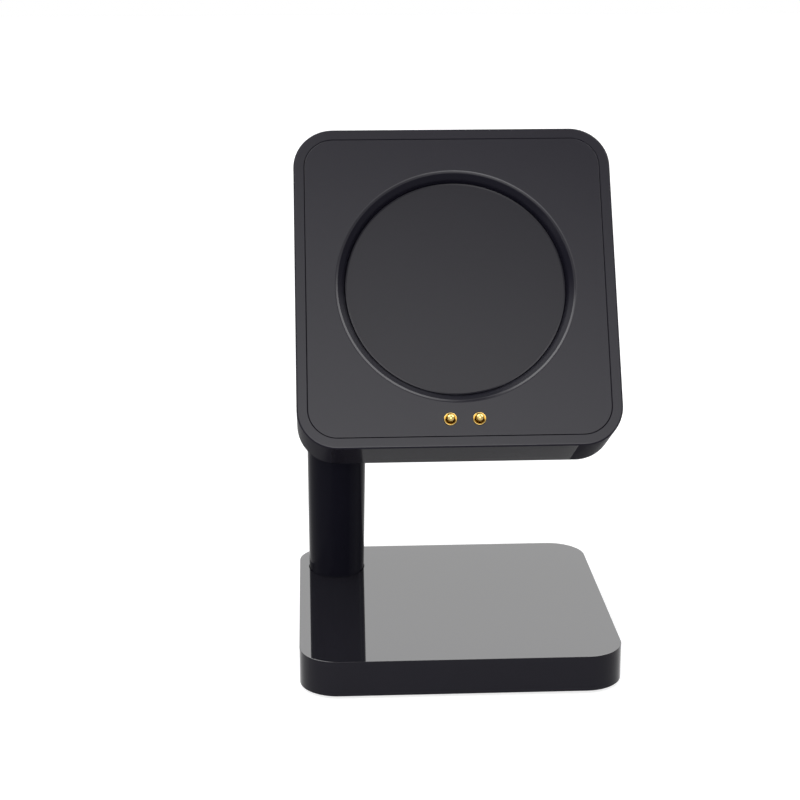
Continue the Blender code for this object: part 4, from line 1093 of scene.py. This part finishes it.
# Studio. Angles in degrees, azimuth 0 in front and 90 on the right. A spread runs over the
# cosine of the angle from the middle of a patch of light, the sky's rise and fall over height.
FLOOR_REACH = 1.2
FLOOR_PAINT = 0.6
FLOOR_GLOW = 0.68
HORIZON = 0.88
BRIGHTEST = 1.12
OVERHEAD = 0.12
SKY_RISE = (0.31, 0.44)
SKY_FALL = (0.5, 0.85)
AMBIENT = 0.5
KEY_AZIMUTH = -3
KEY_HEIGHT = 24.5
KEY_SPREAD = (0.83, 0.998)
KEY_GLOW = 3.05
CORE_HEIGHT = 20
CORE_SPREAD = (0.945, 0.999)
CORE_GLOW = 4.0
LEFT_AZIMUTH = -100
RIGHT_AZIMUTH = 91
SIDE_HEIGHT = 53
SIDE_SPREAD = (0.809, 0.97)
SIDE_GLOW = 6.4
REAR_HEIGHT = 56
REAR_SPREAD = (0.866, 0.978)
REAR_GLOW = 3.0
LAMP_DISTANCE = 0.7
LAMP_TARGET = Vector((0, 0, 30.0 * MM))

# The photograph's view: focal length and picture width in pixels, place and turns in radians
PICTURE_WIDTH = 800.0
FOCAL_LENGTH = 1784.96
SENSOR_WIDTH = 36.0
CAMERA_PLACE = Vector((-16.17, -198.96, 84.75)) * MM
CAMERA_YAW = 0.0506
CAMERA_PITCH = 0.2722
CAMERA_ROLL = -0.0015


def white_floor():
    """A pale floor that keeps the dock's shadow and is white to the camera and in gloss."""
    mesh = bpy.data.meshes.new("studio_floor")
    mesh.from_pydata(
        [(x * FLOOR_REACH, y * FLOOR_REACH, 0) for x, y in ((-1, -1), (1, -1), (1, 1), (-1, 1))],
        [], [(0, 1, 2, 3)])
    floor = bpy.data.objects.new("studio_floor", mesh)
    bpy.context.scene.collection.objects.link(floor)
    made, graph = new_graph("pale_floor")
    mesh.materials.append(made)
    path = graph.node("ShaderNodeLightPath")
    seen = (
        graph.out(path, "Is Camera Ray")
        + graph.out(path, "Is Glossy Ray")
        + graph.out(path, "Is Transmission Ray")
    )
    white = graph.out(graph.node("ShaderNodeEmission", (), {
        "Color": (1, 1, 1, 1), "Strength": seen * FLOOR_GLOW}))
    paint = graph.out(graph.node("ShaderNodeBsdfDiffuse", (), {
        "Color": (FLOOR_PAINT, FLOOR_PAINT, FLOOR_PAINT, 1)}))
    both = graph.out(graph.node("ShaderNodeAddShader", (), {0: white, 1: paint}))
    graph.node("ShaderNodeOutputMaterial", (), {"Surface": both})


def aim(azimuth, elevation):
    turn, rise = math.radians(azimuth), math.radians(elevation)
    return Vector((math.sin(turn) * math.cos(rise), -math.cos(turn) * math.cos(rise),
                   math.sin(rise)))


def patch(graph, towards, azimuth, elevation, spread, glow):
    """A soft round patch of light, brightest in its middle."""
    nearness = graph.node("ShaderNodeVectorMath", {"operation": "DOT_PRODUCT"},
                          {0: towards, 1: aim(azimuth, elevation)})
    return graph.ramp(graph.out(nearness, "Value"), *spread, 0.0, glow)


def surroundings():
    """White all round to the camera. In gloss, white low down and dim higher up, with a soft
    bright patch in front and soft boxes at both sides and above the back."""
    world = bpy.data.worlds.new("studio_surroundings")
    bpy.context.scene.world = world
    world.use_nodes = True
    graph = Graph(world.node_tree)
    path = graph.node("ShaderNodeLightPath")
    camera = graph.out(path, "Is Camera Ray")
    gloss = graph.out(path, "Is Glossy Ray") + graph.out(path, "Is Transmission Ray")
    towards = graph.out(graph.node("ShaderNodeTexCoord"), "Generated")
    height = graph.parts(towards)[2]
    sky = (graph.ramp(height, *SKY_RISE, HORIZON, BRIGHTEST)
           - graph.ramp(height, *SKY_FALL, 0.0, BRIGHTEST - OVERHEAD))
    key = (patch(graph, towards, KEY_AZIMUTH, KEY_HEIGHT, KEY_SPREAD, KEY_GLOW)
           + patch(graph, towards, KEY_AZIMUTH, CORE_HEIGHT, CORE_SPREAD, CORE_GLOW))
    boxes = patch(graph, towards, 180, REAR_HEIGHT, REAR_SPREAD, REAR_GLOW)
    for azimuth in (LEFT_AZIMUTH, RIGHT_AZIMUTH):
        boxes = boxes + patch(graph, towards, azimuth, SIDE_HEIGHT, SIDE_SPREAD, SIDE_GLOW)
    rest = (1.0 - camera - gloss).clamped()
    strength = camera + gloss * (sky + key + boxes) + rest * (AMBIENT + key)
    back = graph.out(graph.node("ShaderNodeBackground", (), {
        "Color": (1, 1, 1, 1), "Strength": strength}))
    graph.node("ShaderNodeOutputWorld", (), {"Surface": back})


def lamp(name, azimuth, elevation, width, height, strength):
    """A soft square lamp that looks at the dock."""
    data = bpy.data.lights.new(name, "AREA")
    data.shape = "RECTANGLE"
    data.size = width
    data.size_y = height
    data.energy = strength
    away = aim(azimuth, elevation)
    obj = bpy.data.objects.new(name, data)
    bpy.context.scene.collection.objects.link(obj)
    obj.location = LAMP_TARGET + away * LAMP_DISTANCE
    obj.rotation_euler = away.to_track_quat("Z", "Y").to_euler()


def camera():
    """The photograph's view."""
    data = bpy.data.cameras.new("photo_view")
    data.sensor_width = SENSOR_WIDTH
    data.sensor_fit = "HORIZONTAL"
    data.lens = FOCAL_LENGTH * SENSOR_WIDTH / PICTURE_WIDTH
    data.clip_start = 0.01
    data.clip_end = 10.0
    level = math.cos(CAMERA_PITCH)
    forward = Vector((math.sin(CAMERA_YAW) * level, math.cos(CAMERA_YAW) * level,
                      -math.sin(CAMERA_PITCH)))
    right = Vector((math.cos(CAMERA_YAW), -math.sin(CAMERA_YAW), 0))
    up = right.cross(forward)
    turned_right = right * math.cos(CAMERA_ROLL) + up * math.sin(CAMERA_ROLL)
    turned_up = up * math.cos(CAMERA_ROLL) - right * math.sin(CAMERA_ROLL)
    place = Matrix((turned_right, turned_up, -forward)).transposed().to_4x4()
    place.translation = CAMERA_PLACE
    obj = bpy.data.objects.new("photo_view", data)
    bpy.context.scene.collection.objects.link(obj)
    obj.matrix_world = place
    bpy.context.scene.camera = obj


white_floor()
surroundings()
lamp("soft_top_left", -50, 62, 0.5, 0.5, 1.6)
lamp("low_left", -54, 6, 0.1, 0.3, 0.5)
lamp("low_right", 115, 8, 0.1, 0.3, 0.5)
camera()
bpy.context.scene.view_settings.view_transform = "Standard"
